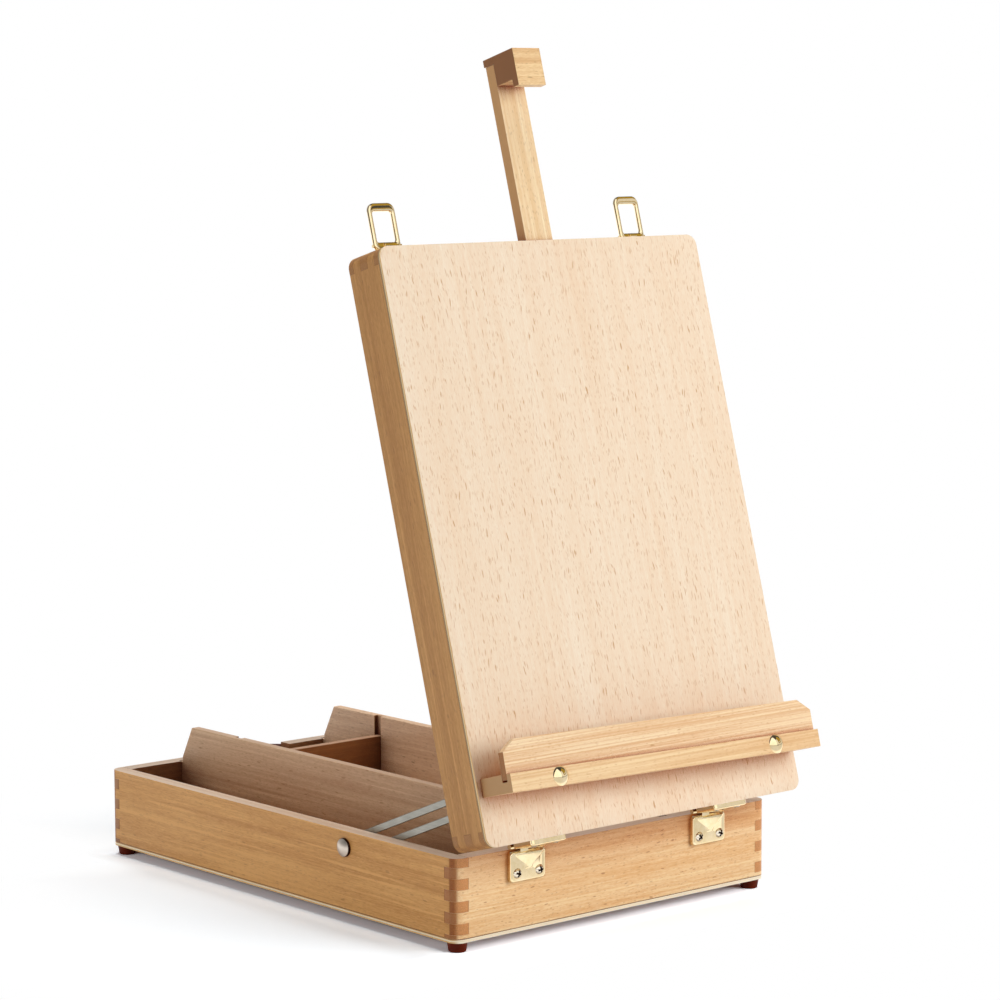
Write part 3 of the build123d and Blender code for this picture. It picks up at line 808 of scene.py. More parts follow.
def rounded_outline(half_w: float, half_h: float, r: float, count: int) -> Array:
    """Points round a rectangle with rounded corners.

    The angle runs once round; each point is the corner arc's centre plus r in the angle's direction, and
    the four centres follow the signs of its cosine and sine.

    Args:
        half_w: half the width.
        half_h: half the height.
        r: corner radius.
        count: points in all, a multiple of four.

    Returns:
        A count by 2 array.
    """
    quarter = np.linspace(0, np.pi / 2, count // 4)
    angle = (quarter[None, :] + np.arange(4)[:, None] * np.pi / 2).ravel()
    sign_x = np.repeat([1, -1, -1, 1], count // 4)
    sign_y = np.repeat([1, 1, -1, -1], count // 4)
    x = sign_x * (half_w - r) + r * np.cos(angle)
    y = sign_y * (half_h - r) + r * np.sin(angle)
    return np.stack([x, y], axis=-1)


def softened(node: str, radius: float) -> bpy.types.Object:
    """A worked copy of a CAD piece with its sharp edges eased.

    The copy's doubled points are merged, its flat faces are made whole again and a Bevel eases the edges.

    Args:
        node: the CAD node to copy and stand in for.
        radius: how much edge is taken off, in millimetres.

    Returns:
        The object, with its modifier live.
    """
    source = bpy.data.objects[node]
    work = bmesh.new()
    work.from_mesh(source.data)
    bmesh.ops.remove_doubles(work, verts=work.verts, dist=SAME_CORNER)
    bmesh.ops.dissolve_limit(work, angle_limit=FLAT, verts=work.verts, edges=work.edges)
    label = node + "_eased"
    mesh = bpy.data.meshes.new(label)
    work.to_mesh(mesh)
    work.free()
    mesh.materials.clear()
    made = shown(label, mesh, CRISP)
    ease = made.modifiers.new("ease", "BEVEL")
    ease.width = radius * MM
    ease.segments = 2
    ease.limit_method = "ANGLE"
    ease.angle_limit = math.radians(CRISP)
    ease.harden_normals = True
    ease.use_clamp_overlap = True
    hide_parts(node)
    return made


def dress(piece: bpy.types.Object, body: str, slot: str, material: bpy.types.Material,
          *nodes: str) -> bpy.types.Object:
    """Give a piece its material and body, and let it stand for CAD nodes.

    Args:
        piece: the piece.
        body: the body that it rides on.
        slot: not used.
        material: its finish.
        nodes: the CAD nodes that it replaces, if it doesn't yet.

    Returns:
        The piece.
    """
    piece.data.materials.clear()
    piece.data.materials.append(material)
    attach(piece, body)
    if nodes:
        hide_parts(*nodes)
    log.info("made %s on %s", piece.name, body)
    return piece


# ---------------------------------------------------------------- boards


@dataclass
class Boards:
    """Every board of the tray and lid, each cut from its own stretch of beech or ply."""

    wall_edge: float = 0.22
    ply_edge: float = 0.7
    partition_edge: float = 0.5
    ledge_edge: float = 0.45
    mast_edge: float = 0.5

    def build(self) -> None:
        """Ease and dress each board."""
        x, y = Grain.ALONG_X, Grain.ALONG_Y
        # Side walls: the paler rim is partly painted light, and the rounded corners are darkened as painted
        # shade.
        side = dict(light="#DDA763", dark="#BD8340", fleck="#855228", fleck_depth=0.4, rim="#E9D2BC",
                    end="#D8985E", end_from=0.1, round_shade=1.0, contrast=0.7, streaks=0.9)
        lid_side = dict(light="#CC985A", dark="#AD793F", fleck="#74482A", fleck_depth=0.4,
                        end="#AE7A44", contrast=0.7, streaks=0.7)
        # Front wall: the pale rim is painted light against the lid's shade, and the corner tint above 26 mm
        # is painted shade under the lid and hinges.
        front = dict(light="#FADAA9", dark="#E6B176", fleck="#A24808", fleck_share=0.4, rim="#F3DCC8",
                     fleck_length_mm=5.0, fleck_depth=0.6, contrast=0.78, end="#AE7A48", round_shade=0.3,
                     corner_shade_mm=60.0, corner_shade_from=0.92, corner_shade_full=0.42, corner="#C18344",
                     corner_shade_above_mm=26.0)
        # Painted shade that reaches far into the corners inside the tray.
        deep = dict(corner_shade_mm=44.0, corner="#6A3A20", corner_shade_full=0.48)
        inner = dict(light="#E2C09A", dark="#BF9674", contrast=0.7, **deep)
        rows: list[tuple[str, str, float, Beech | BeechPly]] = [
            ("base_wall_front", "base", self.wall_edge, Beech("beech_front_wall", x, shift=0.75, **front)),
            # Rear wall: light and dark are painted shade for its inner face in the lid's shadow; rear is its
            # own colour.
            ("base_wall_rear", "base", self.wall_edge,
             Beech("beech_rear_wall", x, shift=0.9, rim="#E9D2BC", light="#B08259", dark="#855A38",
                   round_shade=0.3, rear=("#DDA763", "#BD8340"), **deep)),
            ("base_wall_left", "base", self.wall_edge, Beech("beech_left_wall", y, shift=0.3, **side)),
            ("base_wall_right", "base", self.wall_edge, Beech("beech_right_wall", y, shift=0.5, **side)),
            ("base_bottom", "base", self.ply_edge,
             BeechPly("beech_ply_bottom", y, light="#E3BF97", dark="#D2A67A", shift=0.2, edge="#FFF4DC",
                      core="#F6E9CC")),
            ("partition_left", "base", self.partition_edge,
             Beech("beech_partition_left", y, shift=1.3, rim="#D9B99C", **inner)),
            ("partition_right", "base", self.partition_edge,
             Beech("beech_partition_right", y, shift=1.7, light="#F6D8B8", dark="#DCB592", contrast=0.7,
                   **deep)),
            # Cross partition: light and dark are painted shade for its front face in the lid's shadow; rear
            # is its own colour.
            ("partition_cross", "base", self.partition_edge,
             Beech("beech_partition_cross", x, light="#9A6438", dark="#744626", rim="#C9A080", shift=2.1,
                   rear=("#D9B690", "#B98F6C"), **deep)),
            ("lid_wall_left", "lid", self.wall_edge,
             Beech("beech_lid_left", y, in_lid=True, shift=2.5, **lid_side)),
            ("lid_wall_right", "lid", self.wall_edge,
             Beech("beech_lid_right", y, in_lid=True, shift=2.9, **lid_side)),
            ("lid_wall_hinge", "lid", self.wall_edge,
             Beech("beech_lid_hinge_end", x, in_lid=True, shift=3.3, **lid_side)),
            ("lid_wall_top", "lid", self.wall_edge,
             Beech("beech_lid_top", x, in_lid=True, shift=3.7, **lid_side)),
            ("lid_panel", "lid", self.ply_edge,
             BeechPly("beech_ply_panel", y, in_lid=True, shift=0.6, edge="#EFE0BE", glue_and_gap_shade="#A08058",
                      glue_and_gap_shade_mm=1.2)),
            ("ledge_shelf", "lid", self.ledge_edge,
             Beech("beech_ledge_shelf", x, in_lid=True, light="#F3D4A6", dark="#E0B380", shift=4.1,
                   fleck_share=0.15, contrast=0.6, end="#B99566", fleck="#B9783F", lines=2.0, hair=0.5,
                   fibre=0.6)),
            ("ledge_lip", "lid", self.ledge_edge,
             Beech("beech_ledge_lip", x, in_lid=True, light="#F7DCB4", dark="#E4B788", shift=4.5,
                   fleck_share=0.15, contrast=0.62, end="#935F30", fleck="#C0803F", lines=2.4, hair=0.6,
                   fibre=0.7)),
            ("mast_guide_upper", "lid", self.mast_edge,
             Beech("beech_upper_guide", x, in_lid=True, shift=4.9)),
            ("mast_guide_lower", "lid", self.mast_edge,
             Beech("beech_lower_guide", x, in_lid=True, shift=5.3)),
            # The mast's flank tone is painted shade on its sides.
            ("mast", "mast", self.mast_edge,
             Beech("beech_mast", y, in_lid=True, light="#FAE6C2", dark="#E9C697", shift=5.7,
                   fleck_share=0.3, contrast=0.6, lines=1.2, hair=0.6, fibre=0.7, flank="#C5925A")),
            ("mast_hook", "mast", self.mast_edge,
             Beech("beech_hook", x, in_lid=True, light="#F1D2A1", dark="#DAAE7B", end="#87582F",
                   shift=6.1, fleck_share=0.5, contrast=0.9)),
        ]
        for node, body, edge, finish in rows:
            slot = "beech_ply" if isinstance(finish, BeechPly) else "beech"
            dress(softened(node, edge), body, slot, finish.material())


# ---------------------------------------------------------------- plated hardware


def rounded_cell(sides: int, power: float | Array) -> tuple[Array, Array]:
    """A squarish closed curve, the superellipse |u| ** power + |v| ** power = 1.

    Args:
        sides: points on it.
        power: 2 gives a circle and more gives squarer corners; a column of powers gives a row for each.

    Returns:
        u and v, each from -1 to 1.
    """
    angle = np.linspace(0, 2 * np.pi, sides, endpoint=False)
    cos, sin = np.cos(angle), np.sin(angle)
    size = (np.abs(cos) ** power + np.abs(sin) ** power) ** (-1 / power)
    return cos * size, sin * size


@dataclass
class LatchLoop:
    """Pressed ring that swings on the latch pin and hooks over the keeper."""

    side: int
    x: float = 99.0
    pin_s: float = 360.0
    pin_n: float = 26.9
    half_w: float = 10.15
    bar: float = 2.9
    low: float = -4.3
    high: float = 26.0
    sill: float = 2.2
    pull: float = 5.0
    corner: float = 5.0
    window: float = 1.7
    thick: float = 2.9
    mouth: float = 3.1
    leg_power: float = 2.1
    bar_power: float = 4.0
    corner_points: int = 14
    section_points: int = 40

    def rim(self, half_w: float, low: float, high: float, r: float) -> Array:
        """One edge of the ring, from the right of the lug round to its left.

        Each corner is its centre plus r at a quarter turn of angles; straight runs join them.

        Args:
            half_w: half the edge's width.
            low: where it is lowest.
            high: where it is highest.
            r: corner radius.

        Returns:
            Its points across and up from the pin.
        """
        quarter = np.linspace(0, np.pi / 2, self.corner_points)
        angle = (quarter[None, :] + (np.arange(4)[:, None] - 1) * np.pi / 2).ravel()
        right = np.repeat([1, 1, -1, -1], self.corner_points) * (half_w - r)
        up = np.repeat([low + r, high - r, high - r, low + r], self.corner_points)
        path = np.stack([right + r * np.cos(angle), up + r * np.sin(angle)], axis=-1)
        ends = np.array([[self.mouth, low], [-self.mouth, low]])
        return np.concatenate([ends[:1], path, ends[1:]])

    def build(self, material: bpy.types.Material) -> None:
        """Sweep a squarish section whose width runs from the outer edge to the window's edge.

        Args:
            material: the loop's finish.
        """
        outer = self.rim(self.half_w, self.low, self.high, self.corner)
        inner = self.rim(self.half_w - self.bar, self.sill, self.high - self.pull, self.window)
        at_bar = np.clip((outer[:, 1] - self.high + self.corner) / self.corner, 0, 1) ** 2
        power = (self.leg_power + (self.bar_power - self.leg_power) * at_bar)[:, None]
        u, v = rounded_cell(self.section_points, power)
        share = (0.5 + 0.5 * u)[..., None]
        flat = outer[:, None, :] * (1 - share) + inner[:, None, :] * share
        depth = self.pin_n + v * self.thick / 2
        shut = np.stack([self.side * self.x + flat[..., 0], self.pin_s + flat[..., 1], depth], axis=-1)
        name = "left" if self.side < 0 else "right"
        ring = surface(f"loop_ring_{name}", LidFrame.place(shut), sharp=50.0)
        dress(ring, f"loop_{name}", "brass_plate", material, f"latch_loop_{name}")


@dataclass
class HingeLeaf:
    """A leaf pressed as a shallow tray, its sheet rolled round the pin over half of its width.

    Coordinates are across, up from the far edge and out from the wall; the base leaf stands on its far
    edge and the lid leaf is its mirror in the level plane of the pins, turned with the lid.
    """

    side: int
    on_lid: bool
    x: float = 74.2
    wide: float = 27.3
    tall: float = 18.6
    drop: float = 2.9
    proud: float = 3.4
    roll: float = 1.1
    corner: float = 2.2
    bulge: float = 1.9
    pin_out: float = 1.8
    pin_z: float = LidFrame.pin_z
    pin_r: float = 0.8
    knuckle_r: float = 1.6
    sheet: float = 0.8
    wall_y: float = -BOX_HALF_L
    web_half: float = 3.3
    slot: float = 7.4
    gap: float = 0.2
    lap: float = 0.3
    left: float = -10.5
    right: float = 13.2
    crest_x: float = 1.0
    crest_down: tuple[float, ...] = (1.8, 5.2, 0.3)
    foot_x: float = 2.0
    foot_down: tuple[float, ...] = (2.6, 11.6, 1.4)
    swell_x: tuple[float, ...] = (-10.5, -5.0, 2.0, 9.0, 13.2)
    swell: tuple[float, ...] = (0.0, 0.75, 1.0, 0.75, 0.0)
    rings: int = 60
    corner_sides: int = 200
    tube_sides: int = 40

    def place(self, across: Array, up: Array, out: Array) -> Array:
        """Put leaf coordinates on the wall, mirrored and turned for the lid's leaf.

        Args:
            across: distance from the leaf's middle.
            up: distance from its far edge.
            out: distance from the wall.

        Returns:
            Points (x, y, z).
        """
        x, y = self.side * self.x + across, self.wall_y - out
        from_pin = self.drop + self.tall - up
        if self.on_lid:
            return LidFrame.tilt(x, y, self.pin_z + from_pin)
        return np.stack([x, y, self.pin_z - from_pin], axis=-1)

    def emboss(self, across: Array, down: Array) -> Array:
        """Height of the pressed stop above the plate.

        Its crest sags as a shallow V. Above the crest the sheet falls back towards the knuckle; below it
        the height runs out to a deeper V, by a power of the distance left that makes the left flank steep
        under the crest and the right flank steep at its foot.

        Args:
            across: distance from the leaf's middle, in millimetres.
            down: distance from the leaf's knuckle edge, in millimetres.

        Returns:
            The height at each point.
        """
        crest = np.interp(across, [self.left, self.crest_x, self.right], self.crest_down)
        foot = np.interp(across, [self.left, self.foot_x, self.right], self.foot_down)
        high = self.bulge * np.interp(across, self.swell_x, self.swell)
        gone = np.clip((down - crest) / (foot - crest), 0, 1)
        late = np.clip((across + 1.5) / 5.0, 0, 1)
        under = (1 - late) * (1 - gone) ** 1.8 + late * (1 - gone ** 2.6)
        above = 1 - np.clip((crest - down) / np.maximum(crest, 0.8), 0, 1) ** 1.05
        return high * np.where(down < crest, above, under)

    def face(self) -> bpy.types.Object:
        """The tray's face.

        Its height is proud where it is flat, falls towards the edges as a quarter circle of the roll radius
        in the distance from a rounded rectangle, and carries the pressed stop.

        Returns:
            The face.
        """
        inset = np.concatenate([[0.0], self.roll * (1 - np.cos(np.linspace(0.1, np.pi / 2, 7)))])
        corners = rounded_outline(self.wide / 2, self.tall / 2, self.corner, self.corner_sides)
        shrink = 1 - inset[:, None, None] / np.array([self.wide / 2, self.tall / 2])
        edge = corners[None] * shrink
        height = self.proud - self.roll + np.sqrt(np.clip(
            self.roll ** 2 - (self.roll - inset) ** 2, 0, None))
        inner = corners[None] * shrink[-1:] * np.linspace(0.985, 0.0, self.rings)[:, None, None]
        flat = np.concatenate([corners[None], edge, inner])
        level = np.concatenate([[0.0], height, np.full(self.rings, self.proud)])
        out = level[:, None] * np.ones((1, self.corner_sides))
        across, up = flat[..., 0], flat[..., 1] + self.tall / 2
        web = np.abs(across - (self.web_half if self.on_lid else -self.web_half)) < self.web_half
        out = np.where(web & (up > self.tall - self.roll - 0.1) & (out > 0), self.proud, out)
        lifted = (out > self.proud - 0.02) * self.emboss(across, self.tall - up)
        return surface("leaf_face", self.place(across, up, out + lifted), capped=False, sharp=70.0)

    def knuckle(self) -> list[bpy.types.Object]:
        """The rolled half: a tube round the pin and the web that joins it to the tray.

        Returns:
            The tube and the web.
        """
        near, far = (self.gap, self.wide / 2) if self.on_lid else (-self.wide / 2, -self.gap)
        turn = np.linspace(0, 2 * np.pi, self.tube_sides, endpoint=False)
        across = np.array([near, far, far, near])[:, None] * np.ones((1, self.tube_sides))
        r = np.array([self.knuckle_r, self.knuckle_r, self.pin_r, self.pin_r])[:, None]
        up = self.drop + self.tall + r * np.sin(turn)
        out = self.pin_out + r * np.cos(turn)
        tube = surface("knuckle", self.place(across, up, out), wrap_rows=True, sharp=40.0)
        web_start, web_end = (near, far - self.slot) if self.on_lid else (near + self.slot, far)
        corner = np.array([[-1, -1], [1, -1], [1, 1], [-1, 1]])
        middle_up, half_up = self.tall + self.drop / 2 - self.lap, self.drop / 2 + self.lap
        web_out = self.proud - self.sheet / 2
        ups = middle_up + half_up * corner[:, 0]
        outs = web_out + self.sheet / 2 * corner[:, 1]
        wide = np.array([web_start, web_end])[:, None] * np.ones((1, 4))
        web = surface("web", self.place(wide, ups[None] * np.ones((2, 1)), outs[None] * np.ones((2, 1))))
        return [tube, web]

    def build(self, material: bpy.types.Material) -> None:
        """Join the tray, tube and web into one leaf.

        Args:
            material: the leaf's finish.
        """
        name = "left" if self.side < 0 else "right"
        where = "lid" if self.on_lid else "base"
        leaf = joined(f"leaf_{where}_{name}", [self.face(), *self.knuckle()])
        dress(leaf, where, "brass_plate", material, f"hinge_leaf_{where}_{name}")


@dataclass
class CrossScrew:
    """Round-headed screw with a cross recess.

    The head is a spherical cap; the recess sinks it inside a cross of two arms and deepens from tip_share of
    its depth at their tips to all of it in the middle.
    """

    head_r: float = 3.1
    under: float = 0.4
    under_share: float = 0.97
    arm: float = 2.0
    arm_half: float = 0.58
    deep: float = 1.6
    tip_share: float = 0.45
    rise: float = 0.62
    soft: float = 0.12
    rings: int = 44
    sides: int = 96

    def cap(self) -> tuple[float, float]:
        """The head's height, and the radius of the ball that it is cut from."""
        high = self.rise * self.head_r
        return high, (self.head_r ** 2 + high ** 2) / (2 * high)

    def head(self, name: str, seat: Array, axis: Array, turn: float) -> bpy.types.Object:
        """Make one head.

        Args:
            name: the object's name.
            seat: centre of the head's seat.
            axis: the direction that the head faces.
            turn: how far the recess is turned, in degrees.

        Returns:
            The object.
        """
        high, ball = self.cap()
        lean = np.linspace(math.asin(self.head_r / ball), 0, self.rings)
        r, h = ball * np.sin(lean), ball * np.cos(lean) - ball + high
        angle = np.linspace(0, 2 * np.pi, self.sides, endpoint=False) + math.radians(turn)
        x, y = r[:, None] * np.cos(angle), r[:, None] * np.sin(angle)

        def within(along: Array, across: Array) -> Array:
            """One where a point lies inside an arm, falling to zero over the soft width."""
            long = np.clip((self.arm - np.abs(along)) / self.soft, 0, 1)
            return long * np.clip((self.arm_half - np.abs(across)) / self.soft, 0, 1)

        cut = np.maximum(within(x, y), within(y, x))
        inward = np.clip(1 - r[:, None] / self.arm, 0, 1)
        depth = cut * self.deep * (self.tip_share + (1 - self.tip_share) * inward)
        rim = [(0.0, -self.under), (self.head_r * self.under_share, -self.under), (self.head_r, 0.0)]
        profile = rim + list(zip(r.tolist()[1:-1], h.tolist()[1:-1]))
        sink = np.concatenate([np.zeros((len(rim), self.sides)), depth[1:-1]])
        return turned(name, profile, seat, axis, sides=self.sides, sink=sink)

    def paint_recess_shade(self, heads: bpy.types.Object, seats: Array, axes: Array,
               recess: bpy.types.Material) -> None:
        """Give the recess a dark finish, painted shade: the faces that lie deeper than the cap does at their
        radius.

        Args:
            heads: the joined heads.
            seats: each head's seat centre, in millimetres.
            axes: the unit direction that each head faces.
            recess: the dark finish, painted shade.
        """
        mesh = heads.data
        mesh.materials.append(recess)
        reach = face_centres(mesh)[:, None] - seats[None]
        along = (reach * axes[None]).sum(axis=-1)
        radius = np.linalg.norm(reach - along[..., None] * axes[None], axis=-1)
        high, ball = self.cap()
        cap = np.sqrt(np.clip(ball ** 2 - radius ** 2, 0, None)) - ball + high
        deep = (radius < self.arm + 0.3) & (cap - along > self.soft) & (along > -0.2)
        mesh.polygons.foreach_set("material_index", deep.any(axis=1).astype(np.int32))
        mesh.update()


@dataclass
class HingeScrews:
    """Two screws in each leaf, their recesses darkened with painted shade."""

    x: tuple[float, ...] = (-82.8, -65.6, 65.6, 82.8)
    up: float = 5.4
    rise_base: float = 0.62
    rise_lid: float = 0.3
    turn: float = 18.0
    turn_step: float = 61.0

    def build(self, nickel: bpy.types.Material, recess: bpy.types.Material) -> None:
        """Seat four heads on the tray's leaves and four on the lid's.

        Args:
            nickel: the heads' finish.
            recess: the dark finish inside the cross, painted shade.
        """
        leaf = HingeLeaf(-1, False)
        out = leaf.wall_y - leaf.proud
        z = leaf.pin_z - leaf.drop - leaf.tall + self.up
        for where, rise in (("base", self.rise_base), ("lid", self.rise_lid)):
            screw = CrossScrew(rise=rise)
            heads, seats, axes = [], [], []
            for i, x in enumerate(self.x):
                seat, axis = np.array([x, out, z]), np.array([0.0, -1.0, 0.0])
                if where == "lid":
                    low = np.array([x, out - LidFrame.hinge_end, LidFrame.top - (2 * leaf.pin_z - z)])
                    seat = LidFrame.place(low)
                    axis = LidFrame.place(low + axis) - seat
                heads.append(screw.head("head", seat, axis, self.turn + self.turn_step * i))
                seats.append(seat)
                axes.append(axis / np.linalg.norm(axis))
            made = joined(f"screw_heads_{where}", heads)
            dress(made, where, "nickel_plate", nickel, f"hinge_screws_{where}")
            screw.paint_recess_shade(made, np.array(seats), np.array(axes), recess)


def dome_profile(r: float, h: float) -> list[tuple[float, float]]:
    """A spherical cap above a short rim.

    Args:
        r: radius of the head.
        h: height of the cap.

    Returns:
        (r, h) pairs from the seat's middle to the crown.
    """
    seat, rim_share, crown, rings = 0.02, 0.985, 0.02, 24
    ball = (r * r + h * h) / (2 * h)
    lean = np.linspace(math.asin(min(1.0, r / ball)), crown, rings)
    cap = zip((ball * np.sin(lean)).tolist(), (ball * np.cos(lean) - ball + h).tolist())
    return [(0.0, seat), (r * rim_share, seat), *cap, (0.0, h)]


@dataclass
class LedgeBolts:
    """Two bolts with domed heads that hold the ledge, which leans a little."""

    x: float = 87.2
    s: float = 31.6
    face_n: float = -27.4
    lean: float = -1.3
    head_r: float = 5.8
    head_h: float = 3.2
    shank_r: float = 2.9
    shank_top: float = 0.1
    shank_tip: float = -40.0

    def build(self, material: bpy.types.Material) -> None:
        """Turn each head and its shank, square to the ledge's face.

        Args:
            material: the bolts' finish.
        """
        out = LidFrame.place(np.array([0.0, 0.0, -1.0])) - LidFrame.place(np.array([0.0, 0.0, 0.0]))
        lean = math.radians(self.lean)
        dome = dome_profile(self.head_r, self.head_h)
        shank = [(0.0, self.shank_top), (self.shank_r, self.shank_top), (self.shank_r, self.shank_tip),
                 (0.0, self.shank_tip)]
        parts = []
        for side in (-1, 1):
            seat = LidFrame.place(np.array([side * self.x * math.cos(lean),
                                            self.s + side * self.x * math.sin(lean), self.face_n]))
            parts.append(turned("dome", dome, seat, out, 72))
            parts.append(turned("shank", shank, seat, out))
        dress(joined("ledge_bolt_domes", parts), "lid", "brass_plate", material, "ledge_bolts")


@dataclass
class StayBolts:
    """Coach bolts in the side walls: a low cap on a disc whose edge is darkened with painted shade, and a
    shank.
    """

    y: float = -73.3
    z: float = 40.3
    head_r: float = 5.5
    head_h: float = 1.5
    disc: float = 1.5
    disc_out: float = 0.1
    cap_lift: float = 0.2
    shank_r: float = 2.5
    shank_top: float = 0.1
    shank_tip: float = -21.1
    chamfer: float = 0.5

    def build(self, material: bpy.types.Material, edge: bpy.types.Material) -> None:
        """Turn each head and its shank, and paint shade on the edges of the discs.

        Args:
            material: the heads' finish.
            edge: the dark finish of the disc's edge, painted shade.
        """
        disc_r, end_r = self.head_r + self.disc_out, self.shank_r - self.chamfer
        cap = dome_profile(self.head_r, self.head_h)[2:]
        head = [(0.0, 0.02), (disc_r, 0.02), (disc_r, self.disc),
                *((r, self.disc + self.cap_lift + h) for r, h in cap)]
        shank = [(0.0, self.shank_top), (self.shank_r, self.shank_top),
                 (self.shank_r, self.shank_tip + self.chamfer), (end_r, self.shank_tip),
                 (0.0, self.shank_tip)]
        parts = []
        for side in (-1, 1):
            seat = np.array([side * BOX_HALF_W, self.y, self.z])
            out = np.array([float(side), 0.0, 0.0])
            parts.append(turned("dome", head, seat, out, 72))
            parts.append(turned("shank", shank, seat, out))
        heads = joined("side_bolt_domes", parts)
        dress(heads, "base", "nickel_plate", material, "stay_bolts")
        heads.data.materials.append(edge)
        # Painted shade: faces round the disc's edge take the dark finish.
        x, y, z = face_centres(heads.data).T
        painted_shade_edge = (np.hypot(y - self.y, z - self.z) > self.head_r) & (np.abs(x) > BOX_HALF_W)
        heads.data.polygons.foreach_set("material_index", painted_shade_edge.astype(np.int32))


@dataclass
class Feet:
    """Four tapered bumpers with a rounded tread and a dimple from the moulding gate."""

    x: float = 119.9
    y: float = 169.4
    tread_r: float = 5.4
    tread_round: float = 0.9
    tread_down: float = 5.3
    gate_r: float = 1.6
    gate_deep: float = 0.6
    peg: float = 0.6
    stem: tuple[tuple[float, float], ...] = ((6.25, -0.6), (6.3, 0.0), (6.15, 0.9))

    def build(self, material: bpy.types.Material) -> None:
        """Turn the four feet: peg and stem, a quarter circle to the tread, then the dimple.

        Args:
            material: the feet's finish.
        """
        middle = self.tread_r - self.tread_round
        tread = [(middle + self.tread_round * math.cos(a), self.tread_down + self.tread_round * math.sin(a))
                 for a in np.linspace(0, np.pi / 2, 8)]
        low = self.tread_down + self.tread_round
        gate = [(self.gate_r, low), (self.gate_r - 0.4, low - self.gate_deep + 0.1),
                (0.0, low - self.gate_deep)]
        profile = [(0.0, -self.peg), *self.stem, *tread, *gate]
        down = np.array([0.0, 0.0, -1.0])
        feet = [turned("foot", profile, np.array([x * self.x, y * self.y, 0.0]), down, 56)
                for x in (-1, 1) for y in (-1, 1)]
        dress(joined("rubber_feet", feet), "base", "plastic_brown", material, "feet")


@dataclass
class Strap:
    """The carrying handle: flat ends and a bow between them, with burnished round edges."""

    half: float = 56.0
    flat: float = 15.0
    bow: float = 23.5
    thick: float = 3.5
    z: float = 36.0
    half_tall: float = 10.0
    edge_power: float = 5.0
    burnish: float = 0.12
    burnish_at: float = 0.8
    burnish_wide: float = 0.07

    def build(self, material: bpy.types.Material) -> None:
        """Carry a rounded section along a raised cosine, a little thinner where its edges are burnished.

        Args:
            material: the strap's finish.
        """
        x = np.linspace(-self.half, self.half, 97)
        share = np.clip(np.abs(x) / (self.half - self.flat), 0, 1)
        bow = self.bow * (0.5 + 0.5 * np.cos(np.pi * share))
        lean = np.gradient(bow, x)
        size = np.sqrt(1 + lean ** 2)
        u, v = rounded_cell(36, self.edge_power)
        thin = 1 - self.burnish * np.exp(-((np.abs(u) - self.burnish_at) / self.burnish_wide) ** 2)
        off = v * thin * self.thick / 2
        across_x = x[:, None] - (lean / size)[:, None] * off[None, :]
        y = BOX_HALF_L + self.thick / 2 + bow[:, None] + (1 / size)[:, None] * off[None, :]
        z = np.broadcast_to(self.z + self.half_tall * u, y.shape)
        strap = surface("hide_strap", np.stack([across_x, y, z], axis=-1), sharp=60.0)
        dress(strap, "base", "leather_brown", material, "handle_strap")


@dataclass
class ClampKnob:
    """The clamp's grip, a lobed knob with rounded rims and a dished face."""

    s: float = 317.0
    flutes: int = 12
    flute_depth: float = 0.9
    profile: tuple[tuple[float, float], ...] = (
        (0.0, 22.0), (7.6, 22.0), (8.6, 22.4), (9.0, 23.2), (9.0, 28.6), (8.6, 29.5), (7.7, 30.0),
        (4.2, 30.0), (3.9, 29.6), (3.5, 29.0), (0.0, 29.0))

    def build(self, material: bpy.types.Material) -> None:
        """Turn the knob about the clamp screw, its heights taken from the panel's outer face.

        Args:
            material: the knob's finish.
        """
        origin = LidFrame.place(np.array([0.0, self.s, 0.0]))
        axis = LidFrame.place(np.array([0.0, self.s, 1.0])) - origin
        knob = turned("clamp_grip", list(self.profile), origin, axis, sides=144, flutes=self.flutes,
                      flute_depth=self.flute_depth)
        dress(knob, "clamp", "brass_plate", material, "clamp_knob")


@dataclass
class Hardware:
    """All of the metalwork, the feet and the strap, each in its own finish."""

    brass: bpy.types.Material
    nickel: bpy.types.Material
    bolt_head: bpy.types.Material
    # Dark finish, painted shade in the screws' recesses and on the edges of the bolt discs.
    recess: bpy.types.Material
    steel: bpy.types.Material
    plastic: bpy.types.Material
    leather: bpy.types.Material

    def build(self) -> None:
        """Make each fitting."""
        for side in (-1, 1):
            LatchLoop(side).build(self.brass)
            for on_lid in (False, True):
                HingeLeaf(side, on_lid).build(self.brass)
        HingeScrews().build(self.nickel, self.recess)
        LedgeBolts().build(self.brass)
        StayBolts().build(self.bolt_head, self.recess)
        Feet().build(self.plastic)
        Strap().build(self.leather)
        ClampKnob().build(self.brass)
        self.eased_fittings()

    def eased_fittings(self) -> None:
        """Stampings and turned parts that need no more than a broken edge."""
        finish = {"zinc_steel": self.steel, "brass_plate": self.brass, "nickel_plate": self.nickel}
        rows = [("stay_left", "stay_left", 0.3, "zinc_steel"),
                ("stay_right", "stay_right", 0.3, "zinc_steel"),
                ("latch_brackets", "lid", 0.25, "brass_plate"),
                ("latch_keepers", "base", 0.3, "brass_plate"),
                ("handle_caps", "base", 0.3, "brass_plate"),
                ("stay_wing_nut_left", "wing_nut_left", 0.3, "nickel_plate"),
                ("stay_wing_nut_right", "wing_nut_right", 0.3, "nickel_plate")]
        for node, body, edge, slot in rows:
            dress(softened(node, edge), body, slot, finish[slot])


# ---------------------------------------------------------------- light, floor and camera


